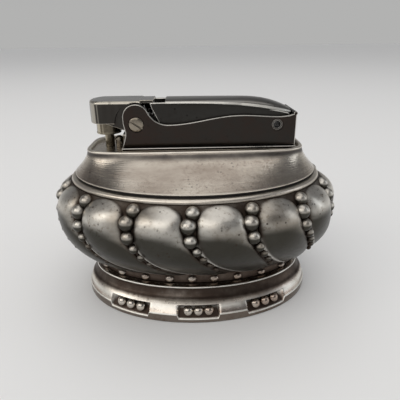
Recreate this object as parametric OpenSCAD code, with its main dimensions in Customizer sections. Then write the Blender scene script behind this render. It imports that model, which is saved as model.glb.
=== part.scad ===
// Table lighter: a swirl-gadrooned oval body on a beaded foot, with a lever
// mechanism on top that turns a spark wheel and lifts a snuffer off the wick.
// +X runs along the body towards the lever's pivot, +Z is up, and the front
// is -Y. The origin is on the table, under the middle of the body.

/* [Bowl] */
// Length over the belly
belly_l = 86; // [82:0.5:92]
// Depth over the belly
belly_d = 64.4; // [60:0.2:70]
// Height of the widest part
belly_z = 30; // [28:0.5:31]
// Height of the lobes' tops
bowl_top_z = 38.2; // [37.5:0.1:39]
// Height of the lower edge at the two ends
bowl_low_z = 10.4; // [10:0.1:11]
// How much higher the lower edge is at the front and back
bowl_lift = 1.7; // [0:0.1:2.5]
// How far the upper edge is inside the belly
shoulder_in = 4.7; // [4:0.1:5.5]
// Number of lobes, and of bead rows between them
lobes = 14; // [10:2:16]
// Depth of the gutters between the lobes
gutter = 2.4; // [1.6:0.1:3]
// Radius of the largest bead
bead_r = 2.1; // [1.6:0.1:2.2]
// Thickness of the bowl's wall under the gutters
bowl_wall = 1.5; // [1:0.1:2.5]

/* [Collar] */
// Length over the cove's lower edge
cove_l = 71.8; // [70:0.2:73]
// Depth over the cove's lower edge
cove_d = 50.2; // [49:0.2:52]
// Length over the top rim
rim_l = 62; // [60:0.5:63]
// Depth over the top rim
rim_d = 23.6; // [22.5:0.2:25]
// Height of the top rim
rim_z = 47.8; // [47:0.1:49]
// Height of the cove's lower edge
cove_z = 40.4; // [40:0.1:41]
// How square the top rim's corners are
rim_square = 4.6; // [2.5:0.1:6]
// Width of the rounded rim
rim_w = 1; // [0.8:0.1:1.4]
// Thickness of the ring moulding under the cove
ring_h = 1.8; // [1.2:0.1:1.9]
// Thickness of the collar's wall
collar_wall = 1.4; // [1:0.1:2]

/* [Foot] */
// Length over the foot
foot_l = 72; // [70:0.5:76]
// Depth over the foot
foot_d = 48; // [46:0.5:52]
// Length of the neck
neck_l = 62.8; // [62:0.2:63.4]
// Depth of the neck
neck_d = 33.2; // [32.4:0.2:33.8]
// Height of the foot's rim
foot_rim_h = 2.9; // [2.4:0.1:3.4]
// Height of the line under the neck
neck_line_z = 8.6; // [8:0.1:9]
// Thickness of the neck's wall
neck_wall = 1.4; // [1:0.1:1.6]
// Number of studs around the neck
studs = 21; // [16:1:28]
// Half the width of a stud along the neck
stud_r = 1.35; // [0.9:0.05:1.5]
// How far a stud stands out
stud_out = 1; // [0.5:0.05:1.1]
// Length of a beaded panel in the rim
panel_l = 12; // [8:0.5:14]
// Distance between panels along the rim
panel_step = 21.4; // [18:0.2:24]
// Radius of a panel's beads
panel_bead_r = 1.25; // [0.9:0.05:1.35]

/* [Base] */
// Thickness of the felt under the foot
felt_t = 1; // [0.8:0.1:1.5]
// Thickness of the base plate
base_t = 1; // [0.8:0.1:1.5]
// Radius of the opening to the filler screw
filler_open_r = 6.2; // [5.5:0.1:6.5]
// Radius of the opening to the flint screw
flint_open_r = 4.2; // [3.6:0.1:4.6]
// Distance of each base screw from the middle
base_screw_x = 23.8; // [23.2:0.1:24]

/* [Tank] */
// Length of the fuel tank
tank_l = 55.2; // [54.8:0.2:56]
// Width of the fuel tank
tank_w = 18.4; // [17:0.2:18.8]
// Height of the tank's floor
tank_z = 6; // [5.5:0.1:7]
// Thickness of the tank's sheet
tank_t = 0.6; // [0.4:0.1:0.9]
// Least clearance between the tank and the shells around it
tank_gap = 0.2; // [0.1:0.05:0.5]
// Thickness of the deck plate
deck_t = 1.2; // [1:0.1:1.6]
// Height of the deck's upper face
deck_z = 46.9; // [46.6:0.1:47.1]
// Place of the filler along the tank
filler_x = 10; // [6:0.5:13]
// Radius of the filler's thread
filler_r = 3; // [2.5:0.1:3.4]

/* [Wick] */
// Place of the wick along the body
wick_x = -25.2; // [-25.4:0.1:-25]
// Outer radius of the wick tube
wick_tube_r = 1.35; // [1.2:0.05:1.45]
// Height of the wick tube's mouth
wick_tube_z = 52.4; // [52:0.1:52.8]
// Radius of the wick
wick_r = 0.85; // [0.6:0.05:0.95]

/* [Mechanism] */
// Width over the frame
frame_w = 13.2; // [12.8:0.1:13.6]
// Thickness of the frame's sides
frame_t = 1.1; // [0.9:0.1:1.2]
// Place of the axle along the body
axle_x = -16.25; // [-16.5:0.05:-16]
// Height of the axle
axle_z = 54.3; // [54:0.1:54.6]
// Teeth of the pinion on the snuffer arm
pinion_teeth = 19; // [19:19]
// Teeth of the full circle that the lever's sector belongs to
sector_teeth = 138; // [138:138]
// Gear module
gear_m = 0.5; // [0.5:0.5]
// Radius of the axle
axle_r = 1.5; // [1.3:0.05:1.6]
// Radius of the axle screw's head
axle_head_r = 2.05; // [1.9:0.05:2.2]
// Radius of the hollow rivet that the lever turns on
rivet_r = 1.45; // [1.3:0.05:1.6]
// Radius of the rivet's hole
rivet_hole_r = 1; // [0.7:0.05:1.1]
// Radius of the spark wheel
wheel_r = 3.9; // [3.6:0.1:4]
// Width of the spark wheel
wheel_w = 3.4; // [3:0.1:3.4]

/* [Snuffer] */
// Width over the snuffer arm
arm_w = 12.4; // [12:0.1:12.8]
// Height of the snuffer arm's top
arm_z = 60.65; // [60.4:0.05:60.8]
// Height of the snuffer arm's lower edge
arm_low_z = 54.5; // [54.3:0.1:55]
// Left end of the snuffer arm
arm_end_x = -29.8; // [-30:0.1:-29.6]
// Wall of the snuffer arm
arm_t = 0.9; // [0.7:0.05:1]
// Radius of the snuffer cup
cup_r = 3.4; // [3.1:0.05:3.5]
// Height of the snuffer cup's mouth
cup_z = 51; // [50.8:0.1:51.2]
// Height of the snuffer cup
cup_h = 3.9; // [3.6:0.1:4]
// Upward give of the snuffer cup
cup_travel = 0.8; // [0.5:0.1:0.9]

/* [Lever] */
// Height of the lever's crown
lever_z = 60.75; // [60.6:0.05:60.9]
// Right end of the lever
lever_end_x = 27.3; // [27:0.1:27.4]
// Width over the lever's cap
lever_w = 10.8; // [10.4:0.1:10.8]
// Thickness of the lever's skirts
skirt_t = 0.9; // [0.7:0.05:0.9]
// Travel of the thumb lever in degrees
lever_press = 6.8; // [5:0.1:6.8]

/* [Flint] */
// Radius of the flint
flint_r = 1.2; // [1.1:0.05:1.25]
// Length of a new flint
flint_l = 5.4; // [4:0.1:6]
// Wall of the flint tube
flint_tube_t = 0.6; // [0.5:0.05:0.65]
// How far the flint can be pushed back
flint_travel = 1.5; // [1:0.1:2]

/* [Clearances] */
// Running clearance of an axle or a sliding stem, on the radius
run_gap = 0.05; // [0.03:0.01:0.08]
// Gap between faces that are fastened to each other
seat_gap = 0.02; // [0.01:0.01:0.05]
// Clearance of a piece that passes through a hole
pass_gap = 0.05; // [0.03:0.01:0.1]
// Side clearance between the moving pieces and the frame
side_gap = 0.2; // [0.15:0.05:0.25]

/* [Hidden] */

silver = "#b5b0a6";
dark_silver = "#8a857c";
steel = "#6f6e6c";
brass = "#b8964c";

// Fine and coarse roundness
fine = 64;
coarse = 32;

function mix(a, b, t) = a + (b - a) * t;
function clamp01(t) = min(1, max(0, t));

// An oval is listed as [half length, half depth, height, squareness]
function signed_pow(v, p) = sign(v) * pow(abs(v), p);
function oval_point(o, t) = [
  o[0] * signed_pow(cos(t), 2 / o[3]),
  o[1] * signed_pow(sin(t), 2 / o[3]),
  o[2]
];
function oval_ring(o, n) = [for (i = [0:n - 1]) oval_point(o, 360 * (i + 0.5) / n)];
// Even steps along an ellipse's edge, to a close approximation
function even_angle(a, b, t) = t + (a - b) / (a + b) * 90 / PI * sin(2 * t);

// Skins a list of rings of equal length, from the bottom to the top.
// A closed skin runs from the last ring back to the first, like a tube.
module skin(rings, closed = false) {
  n = len(rings[0]);
  m = len(rings);
  points = [for (r = rings) each r];
  sides = [
    for (i = [0:(closed ? m - 1 : m - 2)], j = [0:n - 1])
      let (k = (i + 1) % m, j1 = (j + 1) % n)
        each [[i * n + j, k * n + j, k * n + j1], [i * n + j, k * n + j1, i * n + j1]]
  ];
  caps = closed ? [] : [
    [for (j = [0:n - 1]) j],
    [for (j = [n - 1:-1:0]) (m - 1) * n + j]
  ];
  polyhedron(points = points, faces = concat(sides, caps), convexity = 10);
}

module oval_plate(o, z0, z1, n = 72) {
  translate([0, 0, z0])
    linear_extrude(z1 - z0)
      polygon([for (p = oval_ring(o, n)) [p[0], p[1]]]);
}

// A straight-sided slab with round ends
module stadium(l, w, z0, z1) {
  translate([0, 0, z0])
    linear_extrude(z1 - z0)
      union() {
        square([l - w, w], center = true);
        translate([(l - w) / 2, 0]) circle(d = w, $fn = fine);
        translate([(w - l) / 2, 0]) circle(d = w, $fn = fine);
      }
}

module rod(x, r, z0, z1, n = coarse) {
  translate([x, 0, z0]) cylinder(r = r, h = z1 - z0, $fn = n);
}

module rod_y(x, z, r, y0, y1, n = fine) {
  translate([x, y1, z]) rotate([90, 0, 0]) cylinder(r = r, h = y1 - y0, $fn = n);
}

// Extrudes an outline drawn in X and Z from y0 to y1
module slab_y(outline, y0, y1) {
  translate([0, y1, 0])
    rotate([90, 0, 0])
      linear_extrude(y1 - y0)
        polygon(outline);
}

// Spring wire: one tube that climbs with rise(t) while it turns, t from 0 to 1
coil_sides = 6;
coil_steps = 8;
function coil_path(x, r, z0, z1, turns) = [
  for (i = [0:turns * coil_steps])
    let (t = i / (turns * coil_steps))
      [x + r * cos(360 * turns * t), r * sin(360 * turns * t), mix(z0, z1, t)]
];
function coil_ring(p, a, w) = [
  for (j = [0:coil_sides - 1])
    let (b = 360 * j / coil_sides)
      [p[0] + w * cos(b) * cos(a), p[1] + w * cos(b) * sin(a), p[2] + w * sin(b)]
];
module coil(x, r, wire, z0, z1, turns) {
  path = coil_path(x, r, z0 + wire / 2, z1 - wire / 2, turns);
  gap = (z1 - z0 - wire) / turns - wire;
  echo(least_gap_between_turns = gap);
  skin([for (i = [len(path) - 1:-1:0]) coil_ring(path[i], 360 * i / coil_steps, wire / 2)]);
}

// Bowl

belly_a = belly_l / 2;
belly_b = belly_d / 2;
neck_a = neck_l / 2;
neck_b = neck_d / 2;
bowl_bottom_a = neck_a + 0.9;
bowl_bottom_b = neck_b + 0.9;
samples = 8;
bowl_n = lobes * samples;
// The bowl's rows, as shares of the way from its top to its lower edge
rows = [0, 0.025, 0.06, 0.1, 0.17, 0.25, 0.33, 0.42, 0.51, 0.6, 0.7, 0.84, 1];
inner_rows = [1, 0.77, 0.5, 0.28, 0.1];
inner_n = 40;
upper_curve = 2.6;
end_curve = 2.3;
front_curve = 2;

function profile(z, top, widest, bottom, z_bottom, curve) =
  z > belly_z
    ? widest - (widest - top) * pow((z - belly_z) / (bowl_top_z - belly_z), upper_curve)
    : widest - (widest - bottom) * pow((belly_z - z) / (belly_z - z_bottom), curve);
function end_z(w) = mix(bowl_top_z, bowl_low_z, w);
function front_z(w) = mix(bowl_top_z, bowl_low_z + bowl_lift, w);
function crest_a(w) =
  profile(end_z(w), belly_a - shoulder_in, belly_a, bowl_bottom_a, bowl_low_z, end_curve);
function crest_b(w) =
  profile(front_z(w), belly_b - shoulder_in, belly_b, bowl_bottom_b, bowl_low_z + bowl_lift, front_curve);
// A point of the bowl at row w, angle t and a distance in from the crests
function bowl_point(w, t, inward) = [
  (crest_a(w) - inward) * cos(t),
  (crest_b(w) - inward) * sin(t),
  mix(bowl_top_z, bowl_low_z + bowl_lift * sin(t) * sin(t), w)
];

// Bead rows stand at whole numbers of u, which counts lobes around the bowl.
// The left and right edges of the gutter swirl sideways towards the foot.
row_phase = 0.43;
function gutter_right(w) = 0.05 + 0.87 * pow(max(0, (w - 0.25) / 0.6), 2.05);
function gutter_left(w) = -0.16 + 0.63 * pow(max(0, (w - 0.16) / 0.64), 1.6);
function gutter_depth(w) =
  gutter * mix(0.4, 1, clamp01(w / 0.1)) * mix(1, 0.45, clamp01((w - 0.25) / 0.37)) * mix(1, 0.6, clamp01((w - 0.62) / 0.38));
function lobe_height(w, u) =
  let (
    left = gutter_right(w),
    right = 1 + gutter_left(w),
    v = u - left - floor(u - left),
    q = (v - (right - left) / 2) / ((right - left) / 2),
    egg_end = 1 - clamp01(w / 0.13)
  )
    sqrt(max(0, 1 - q * q - egg_end * egg_end));
function bowl_ring(w) = [
  for (i = [0:bowl_n - 1])
    let (
      u = i / samples,
      t = even_angle(belly_a, belly_b, 360 * (u + row_phase) / lobes)
    )
      bowl_point(w, t, gutter_depth(w) * (1 - lobe_height(w, u)))
];
function plain_ring(w, inward, n) = [
  for (i = [0:n - 1])
    bowl_point(w, even_angle(belly_a, belly_b, 360 * (i / n + row_phase / lobes)), inward)
];
function flat_ring(a, b, z, n) = [
  for (i = [0:n - 1])
    let (t = even_angle(belly_a, belly_b, 360 * (i / n + row_phase / lobes)))
      [a * cos(t), b * sin(t), z]
];
land_a = belly_a - shoulder_in - 0.9;
land_b = belly_b - shoulder_in - 0.9;
land_z = bowl_top_z - 0.6;
bowl_inward = gutter + bowl_wall;

// Each bead: place along the row, sideways shift, and size as a share of the largest
beads = [
  [0.065, 0, 0.9], [0.17, -0.07, 1], [0.305, -0.04, 0.87], [0.41, 0.06, 0.6],
  [0.505, 0.16, 0.52], [0.6, 0.275, 0.46], [0.69, 0.385, 0.38]
];

module bead(row, b) {
  r = bead_r * b[2];
  t = even_angle(belly_a, belly_b, 360 * (row + b[1] + row_phase) / lobes);
  // The hull keeps a bead a closed ball of flat facets
  translate(bowl_point(b[0], t, max(r * 1.05, gutter_depth(b[0]) - r * 0.45)))
    hull() sphere(r = r, $fn = b[2] > 0.7 ? 8 : 6);
}

module bowl() {
  color(silver)
    difference() {
      union() {
        skin(
          concat(
            [flat_ring(neck_a - 2, neck_b - 2, bowl_low_z + bowl_lift + 0.5, bowl_n)],
            [for (i = [len(rows) - 1:-1:0]) bowl_ring(rows[i])],
            [flat_ring(land_a, land_b, land_z, bowl_n)]
          )
        );
        for (row = [0:lobes - 1])
          for (b = beads)
            bead(row, b);
      }
      skin(
        concat(
          [for (w = inner_rows) plain_ring(w, bowl_inward, inner_n)],
          [flat_ring(cove_l / 2 - bowl_inward, cove_d / 2 - bowl_inward, land_z + 1, inner_n)]
        )
      );
      oval_plate([neck_a + pass_gap, neck_b + pass_gap, 0, 2], 0, bowl_low_z + bowl_lift + 2, foot_n);
    }
}

// Collar

cove_a = cove_l / 2;
cove_b = cove_d / 2;
rim_a = rim_l / 2;
rim_b = rim_d / 2;
collar_low_z = land_z + seat_gap;
// The ring moulding stands proud of the cove's edge
ring_out = 1.3;
groove_in = 0.7;
ring_r = ring_h / 2;
ring_z = collar_low_z + ring_r;
ledge_in = 0.9;
cove_curve = 1.5;
collar_n = 52;
function cove(s, inward) = [
  mix(rim_a, cove_a, pow(s, cove_curve)) - inward,
  mix(rim_b, cove_b, pow(s, cove_curve)) - inward,
  mix(rim_z - 0.4, cove_z, s),
  1 / mix(1 / rim_square, 0.5, s)
];
function around_cove(out, z) = [cove_a + out, cove_b + out, z, 2];
function around_rim(inward, z) = [rim_a - inward, rim_b - inward, z, rim_square];
collar_profile = concat(
  [around_cove(ring_out - ring_r * 1.7, collar_low_z)],
  [for (t = [-90:45:90]) around_cove(ring_out - ring_r + ring_r * cos(t), ring_z + ring_r * sin(t))],
  [around_cove(-groove_in, ring_z + ring_r), around_cove(-groove_in, cove_z - 0.25)],
  [around_cove(-0.05, cove_z - 0.25)],
  [for (s = [1:-0.2:0]) cove(s, 0)],
  [for (t = [45:45:180]) around_rim(rim_w / 2 - rim_w / 2 * cos(t), rim_z - 0.4 + 0.4 * sin(t))],
  [around_rim(rim_w, deck_z - deck_t)],
  [around_rim(rim_w + ledge_in, deck_z - deck_t)],
  [around_rim(rim_w + ledge_in, deck_z - deck_t - 1.2)],
  [cove(0.6, collar_wall + 1), [cove_a - ring_out - 1.4, cove_b - ring_out - 1.4, collar_low_z, 2]]
);

// The ledge leaves room for the tank and for the wick tube over it
module collar() {
  color(silver)
    difference() {
      skin([for (o = collar_profile) oval_ring(o, collar_n)], closed = true);
      stadium(tank_l + 2 * tank_gap, tank_w + 2 * tank_gap, collar_low_z - 1, deck_z - deck_t);
    }
}

// Foot

foot_a = foot_l / 2;
foot_b = foot_d / 2;
foot_low_z = 0.2;
neck_top_z = bowl_low_z + bowl_lift + 0.9;
foot_n = 56;
// The foot's outline, from its lower edge to the neck, as distances in from
// the foot's edge at the ends and at the front, and heights
foot_outline = [
  [0.1, 0.05, foot_low_z], [0, 0, 0.9], [0, 0, foot_rim_h - 0.35], [0.2, 0.2, foot_rim_h],
  [0.5, 1.15, foot_rim_h + 1], [0.72, 1.95, foot_rim_h + 1.75], [0.95, 2.75, foot_rim_h + 2.3],
  [1.3, 3.45, foot_rim_h + 2.8], [2, 4.25, foot_rim_h + 3.4], [2.7, 4.95, neck_line_z - 1.05],
  [3, 5.3, neck_line_z - 0.35], [2.8, 5.05, neck_line_z], [3.2, 5.5, neck_line_z + 0.35]
];
base_seat_z = felt_t + base_t + seat_gap;
base_a = foot_a - 1.6;
base_b = foot_b - 1.6;
// The neck's wall leaves the tank room
neck_in_a = max(neck_a - neck_wall, tank_l / 2 + tank_gap);
neck_in_b = max(neck_b - neck_wall, tank_w / 2 + tank_gap);
foot_inner = [
  [neck_in_a, neck_in_b, neck_top_z], [neck_in_a, neck_in_b, neck_line_z],
  [base_a - 1, base_b - 1, base_seat_z + 0.8], [base_a - 1, base_b - 1, base_seat_z],
  [base_a + pass_gap, base_b + pass_gap, base_seat_z], [base_a + pass_gap, base_b + pass_gap, foot_low_z]
];
function foot_ring(a, b, z) = oval_ring([a, b, z, 2], foot_n);
// The studs stand between the neck's line and the bowl's lower edge
stud_low_z = neck_line_z + 0.35;
function stud_gap(t) = bowl_low_z + bowl_lift * sin(t) * sin(t) - stud_low_z;
panel_tilt = 38;
panel_in = 3.1;
panel_deep = 1.1;

// Moves to the foot's edge, s millimetres along it from the front or back
module at_foot_edge(s, side, inward) {
  t = s / (foot_a + foot_b) * 360 / PI;
  e = even_angle(foot_a, foot_b, side * 90 + t);
  p = [(foot_a - inward) * cos(e), (foot_b - inward) * sin(e)];
  normal = atan2(sin(e) / foot_b, cos(e) / foot_a);
  translate([p[0], p[1], 0]) rotate([0, 0, normal]) children();
}

module foot() {
  color(silver)
    union() {
      difference() {
        skin(
          concat(
            [for (f = foot_outline) foot_ring(foot_a - f[0], foot_b - f[1], f[2])],
            [foot_ring(neck_a, neck_b, neck_line_z + 0.7), foot_ring(neck_a, neck_b, neck_top_z)],
            [for (f = foot_inner) foot_ring(f[0], f[1], f[2])]
          ),
          closed = true
        );
        for (side = [-1, 1], k = [-1:1])
          at_foot_edge(k * panel_step, side, 0)
            translate([0, 0, foot_rim_h])
              rotate([0, panel_tilt, 0])
                translate([-panel_in, -panel_l / 2, -panel_deep])
                  cube([panel_in + 3, panel_l, 4]);
      }
      for (side = [-1, 1], k = [-1:1], i = [-1:1])
        at_foot_edge(k * panel_step + i * panel_bead_r * 2.35, side, 1.5)
          translate([0, 0, foot_rim_h + 0.1])
            hull() sphere(r = panel_bead_r, $fn = 8);
      for (i = [0:studs - 1])
        let (
          t = even_angle(neck_a, neck_b, 360 * (i + 0.5) / studs),
          normal = atan2(sin(t) / neck_b, cos(t) / neck_a)
        )
          translate([neck_a * cos(t), neck_b * sin(t), stud_low_z + stud_gap(t) * 0.42])
            rotate([0, 0, normal])
              hull() scale([stud_out, stud_r, stud_gap(t) * 0.4]) sphere(r = 1, $fn = 6);
    }
}

// Base

screw_r = 1.2;
screw_head_r = 2.1;
screw_head_h = 0.8;
boss_r = 1.9;

module base_plate() {
  color(dark_silver)
    difference() {
      oval_plate([base_a, base_b, 0, 2], felt_t, felt_t + base_t, foot_n);
      rod(filler_x, filler_open_r, 0, base_seat_z, fine);
      rod(axle_x, flint_open_r, 0, base_seat_z, fine);
      for (s = [-1, 1])
        rod(s * base_screw_x, screw_r + pass_gap, 0, base_seat_z);
    }
}

module felt_pad() {
  color("#3f5a45")
    difference() {
      oval_plate([base_a - 0.3, base_b - 0.3, 0, 2], 0, felt_t - seat_gap, foot_n);
      rod(filler_x, filler_open_r + 0.6, -1, felt_t, fine);
      rod(axle_x, flint_open_r + 0.6, -1, felt_t, fine);
      for (s = [-1, 1])
        rod(s * base_screw_x, screw_head_r + 0.5, -1, felt_t);
    }
}

// A slot across a screw's head, cut upwards from z
module slot_up(x, z, l, w, deep) {
  translate([x - l / 2, -w / 2, z - 1]) cube([l, w, deep + 1]);
}

module base_screws() {
  head_z = felt_t - screw_head_h - seat_gap;
  color(steel)
    for (s = [-1, 1])
      difference() {
        union() {
          rod(s * base_screw_x, screw_head_r, head_z, felt_t - seat_gap);
          rod(s * base_screw_x, screw_r, head_z, tank_z - 0.5);
        }
        slot_up(s * base_screw_x, head_z, 2 * screw_head_r + 1, 0.5, 0.4);
      }
}

// Tank and deck

tank_top_z = deck_z - deck_t - seat_gap;
tank_floor_t = 0.9;
filler_boss_z = tank_z - 1;
filler_boss_r = filler_r + 1.4;
flint_bore_r = flint_r + 0.1;
flint_tube_r = flint_bore_r + flint_tube_t;
flint_tube_z0 = tank_z - 1;
wheel_gap = 0.1;
wheel_bottom_z = axle_z - wheel_r;
flint_top_z = wheel_bottom_z - wheel_gap;
flint_tube_z1 = flint_top_z - 0.5;
frame_screw_x = [-3.5, 19];
frame_screw_r = 0.8;
frame_floor_t = 1;
floor_z = deck_z + frame_floor_t;

module deck_plate() {
  color(dark_silver)
    difference() {
      oval_plate(
        [rim_a - rim_w - pass_gap, rim_b - rim_w - pass_gap, 0, rim_square],
        deck_z - deck_t + seat_gap, deck_z, collar_n
      );
      rod(wick_x, wick_tube_r + seat_gap, 0, deck_z + 1);
      rod(axle_x, flint_tube_r + pass_gap, 0, deck_z + 1);
      for (x = frame_screw_x)
        rod(x, frame_screw_r + seat_gap, 0, deck_z + 1);
    }
}

module tank() {
  color(dark_silver)
    difference() {
      stadium(tank_l, tank_w, tank_z + tank_floor_t + seat_gap, tank_top_z);
      stadium(tank_l - 2 * tank_t, tank_w - 2 * tank_t, tank_z, tank_top_z + 1);
    }
}

module tank_floor() {
  color(dark_silver)
    difference() {
      union() {
        stadium(tank_l, tank_w, tank_z, tank_z + tank_floor_t);
        rod(filler_x, filler_boss_r, filler_boss_z, tank_z + 1, fine);
        for (s = [-1, 1])
          rod(s * base_screw_x, boss_r, base_seat_z, tank_z + 0.5);
      }
      rod(filler_x, filler_r + run_gap, 0, tank_z + 5, fine);
      rod(axle_x, flint_tube_r + pass_gap, 0, tank_z + 5, fine);
      for (s = [-1, 1])
        rod(s * base_screw_x, screw_r + seat_gap, 0, tank_z - 0.4);
    }
}

gasket_t = 0.4;
filler_head_r = filler_r + 1.2;
filler_head_t = 1.3;

module filler_gasket() {
  color("#6b4a2f")
    difference() {
      rod(filler_x, filler_head_r, filler_boss_z - seat_gap - gasket_t, filler_boss_z - seat_gap, fine);
      rod(filler_x, filler_r + 0.15, 0, filler_boss_z + 1, fine);
    }
}

module filler_screw() {
  head_top = filler_boss_z - 2 * seat_gap - gasket_t;
  color(brass)
    difference() {
      union() {
        rod(filler_x, filler_head_r, head_top - filler_head_t, head_top, fine);
        rod(filler_x, filler_r, head_top - 0.5, tank_z + 3, fine);
      }
      slot_up(filler_x, head_top - filler_head_t, 2 * filler_head_r + 1, 0.9, 0.7);
    }
}

module cotton_packing() {
  low = tank_z + tank_floor_t + 1.6;
  high = tank_top_z - 1.2;
  color("#e6e0d2")
    difference() {
      stadium(tank_l - 2 * tank_t - 0.6, tank_w - 2 * tank_t - 0.6, low, high);
      rod(filler_x, filler_r + 1, 0, tank_z + 5, fine);
      rod(axle_x, flint_tube_r + 0.3, 0, high + 1, fine);
      rod(wick_x + 1.3, wick_r + 0.3 + 1.3, low + 6, high + 1);
    }
}

module wick() {
  color("#ece5d3")
    rod(wick_x, wick_r, tank_z + 14, wick_tube_z + 0.6);
}

module wick_tube() {
  color(steel)
    difference() {
      rod(wick_x, wick_tube_r, deck_z - 2, wick_tube_z);
      rod(wick_x, wick_r + 0.1, 0, wick_tube_z + 1);
    }
}

// A round-topped post that keeps the wheel's dust off the wick
guard_r = 1.15;
guard_top_z = 50.3;
module spark_guard() {
  color(steel)
    translate([wick_x + wick_tube_r + 0.5 + guard_r, -1, 0])
      union() {
        translate([0, 0, deck_z + seat_gap]) cylinder(r = guard_r, h = guard_top_z - guard_r - deck_z, $fn = coarse);
        translate([0, 0, guard_top_z - guard_r]) sphere(r = guard_r, $fn = coarse);
      }
}

// Flint

flint_spring_wire = 0.35;
screw_plug_z = flint_tube_z0 + 5;

module flint_tube() {
  color(brass)
    difference() {
      rod(axle_x, flint_tube_r, flint_tube_z0, flint_tube_z1, fine);
      rod(axle_x, flint_bore_r, 0, flint_tube_z1 + 1, fine);
    }
}

module flint() {
  color("#4a4642")
    rod(axle_x, flint_r, flint_top_z - flint_l, flint_top_z);
}

module flint_spring() {
  color(steel)
    coil(
      axle_x, flint_bore_r - 0.15 - flint_spring_wire / 2, flint_spring_wire,
      screw_plug_z + seat_gap, flint_top_z - flint_l - seat_gap, 11
    );
}

flint_head_r = 2.7;
module flint_screw() {
  color(brass)
    difference() {
      union() {
        rod(axle_x, flint_head_r, flint_tube_z0 - seat_gap - 1.3, flint_tube_z0 - seat_gap);
        rod(axle_x, flint_bore_r - run_gap, flint_tube_z0 - 1, screw_plug_z);
      }
      slot_up(axle_x, flint_tube_z0 - seat_gap - 1.3, 2 * flint_head_r + 1, 0.8, 0.7);
    }
}

// Frame

pinion_r = gear_m * pinion_teeth / 2;
sector_r = gear_m * sector_teeth / 2;
// The rivet's drop below the axle
rivet_drop = 0.5;
rivet_x = axle_x + sqrt(pow(pinion_r + sector_r, 2) - pow(rivet_drop, 2));
rivet_z = axle_z - rivet_drop;
frame_y = frame_w / 2;
frame_in_y = frame_y - frame_t;
frame_left_x = -20.7;
frame_right_x = rivet_x + 5.4;
end_wall_t = 0.8;
flange_y = frame_y + 1;
ear_r = 3.7;
ear_z = 56.15;
dip_r = 6.1;
dip_z = 54.15;
dip_x = axle_x + sqrt(pow(ear_r + dip_r, 2) - pow(dip_z + dip_r - ear_z, 2));
ear_turn = atan2(dip_z + dip_r - ear_z, dip_x - axle_x);
hump_x = 13;
hump_z = 56.5;
tail_dip_x = 24;
tail_dip_z = 56;
lip_z = 56.7;
// Half a cosine wave from one point to another
function wave(x, x0, z0, x1, z1) = mix(z0, z1, (1 - cos(180 * (x - x0) / (x1 - x0))) / 2);
side_outline = concat(
  [[frame_left_x, deck_z + 0.5], [frame_left_x + 1.3, 52.1], [frame_left_x + 0.1, 52.2]],
  [for (t = [180:-12:ear_turn]) [axle_x + ear_r * cos(t), ear_z + ear_r * sin(t)]],
  [for (t = [180 + ear_turn:9:270]) [dip_x + dip_r * cos(t), dip_z + dip_r + dip_r * sin(t)]],
  [for (x = [dip_x + 1:1.4:hump_x]) [x, wave(x, dip_x, dip_z, hump_x, hump_z)]],
  [for (x = [hump_x + 1:1.6:tail_dip_x]) [x, wave(x, hump_x, hump_z, tail_dip_x, tail_dip_z)]],
  [[tail_dip_x, tail_dip_z], [frame_right_x - 2.2, tail_dip_z + 0.2], [frame_right_x - 0.5, lip_z]],
  [[frame_right_x, lip_z], [frame_right_x, deck_z + 0.5]]
);
spring_x = 9;
spring_wire = 0.6;
spring_r = 2.3;
axle_head_t = 0.85;
counterbore = 0.55;

module frame() {
  color(silver)
    difference() {
      union() {
        translate([frame_left_x, -flange_y, deck_z + seat_gap])
          cube([frame_right_x - frame_left_x, 2 * flange_y, frame_floor_t - seat_gap]);
        for (s = [0, 1])
          mirror([0, s, 0]) slab_y(side_outline, frame_in_y, frame_y);
        translate([frame_right_x - end_wall_t, -frame_y, deck_z + 0.5])
          cube([end_wall_t, 2 * frame_y, lip_z - deck_z - 0.5]);
        rod_y(frame_right_x - 0.35, lip_z, 0.55, -frame_y, frame_y, coarse);
        rod(spring_x, spring_r - spring_wire / 2 - 0.3, floor_z - 0.2, floor_z + 2.2);
      }
      rod(axle_x, flint_tube_r + pass_gap, 0, floor_z + 1, fine);
      for (x = frame_screw_x)
        rod(x, frame_screw_r + seat_gap, 0, floor_z + 1);
      rod_y(axle_x, axle_z, axle_r + seat_gap, -frame_y - 1, 0);
      rod_y(axle_x, axle_z, axle_head_r + 0.12, -frame_y - 1, -frame_y + counterbore);
      rod_y(axle_x, axle_z, axle_r - 0.3 + seat_gap, 0, frame_y + 1);
      rod_y(rivet_x, rivet_z, rivet_r + seat_gap, -frame_y - 1, frame_y + 1);
      for (s = [-1, 1])
        rod_y(rivet_x, rivet_z, rivet_r + 0.4, s * frame_y - 0.15, s * frame_y + 0.15);
    }
}

module frame_screws() {
  color(steel)
    for (x = frame_screw_x)
      difference() {
        union() {
          rod(x, 1.5, floor_z + seat_gap, floor_z + 0.9);
          rod(x, frame_screw_r, deck_z - deck_t - 0.8, floor_z + 0.5);
        }
        translate([x - 2, -0.2, floor_z + 0.55]) cube([4, 0.4, 1]);
      }
}

slot_turn = 35;
module axle_screw() {
  head_y = -frame_y + counterbore - seat_gap;
  color(silver)
    difference() {
      union() {
        rod_y(axle_x, axle_z, axle_head_r, head_y - axle_head_t, head_y);
        rod_y(axle_x, axle_z, axle_r, head_y - 0.2, frame_in_y - seat_gap);
        rod_y(axle_x, axle_z, axle_r - 0.3, 0, frame_y);
      }
      translate([axle_x, head_y - axle_head_t, axle_z])
        rotate([0, slot_turn, 0])
          cube([2 * axle_head_r + 1, 0.9, 0.5], center = true);
    }
}

module lever_rivet() {
  color(steel)
    difference() {
      rod_y(rivet_x, rivet_z, rivet_r, -frame_y - 0.1, frame_y + 0.1);
      rod_y(rivet_x, rivet_z, rivet_hole_r, -frame_y - 1, frame_y + 1);
    }
}

// Spark wheel

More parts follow.
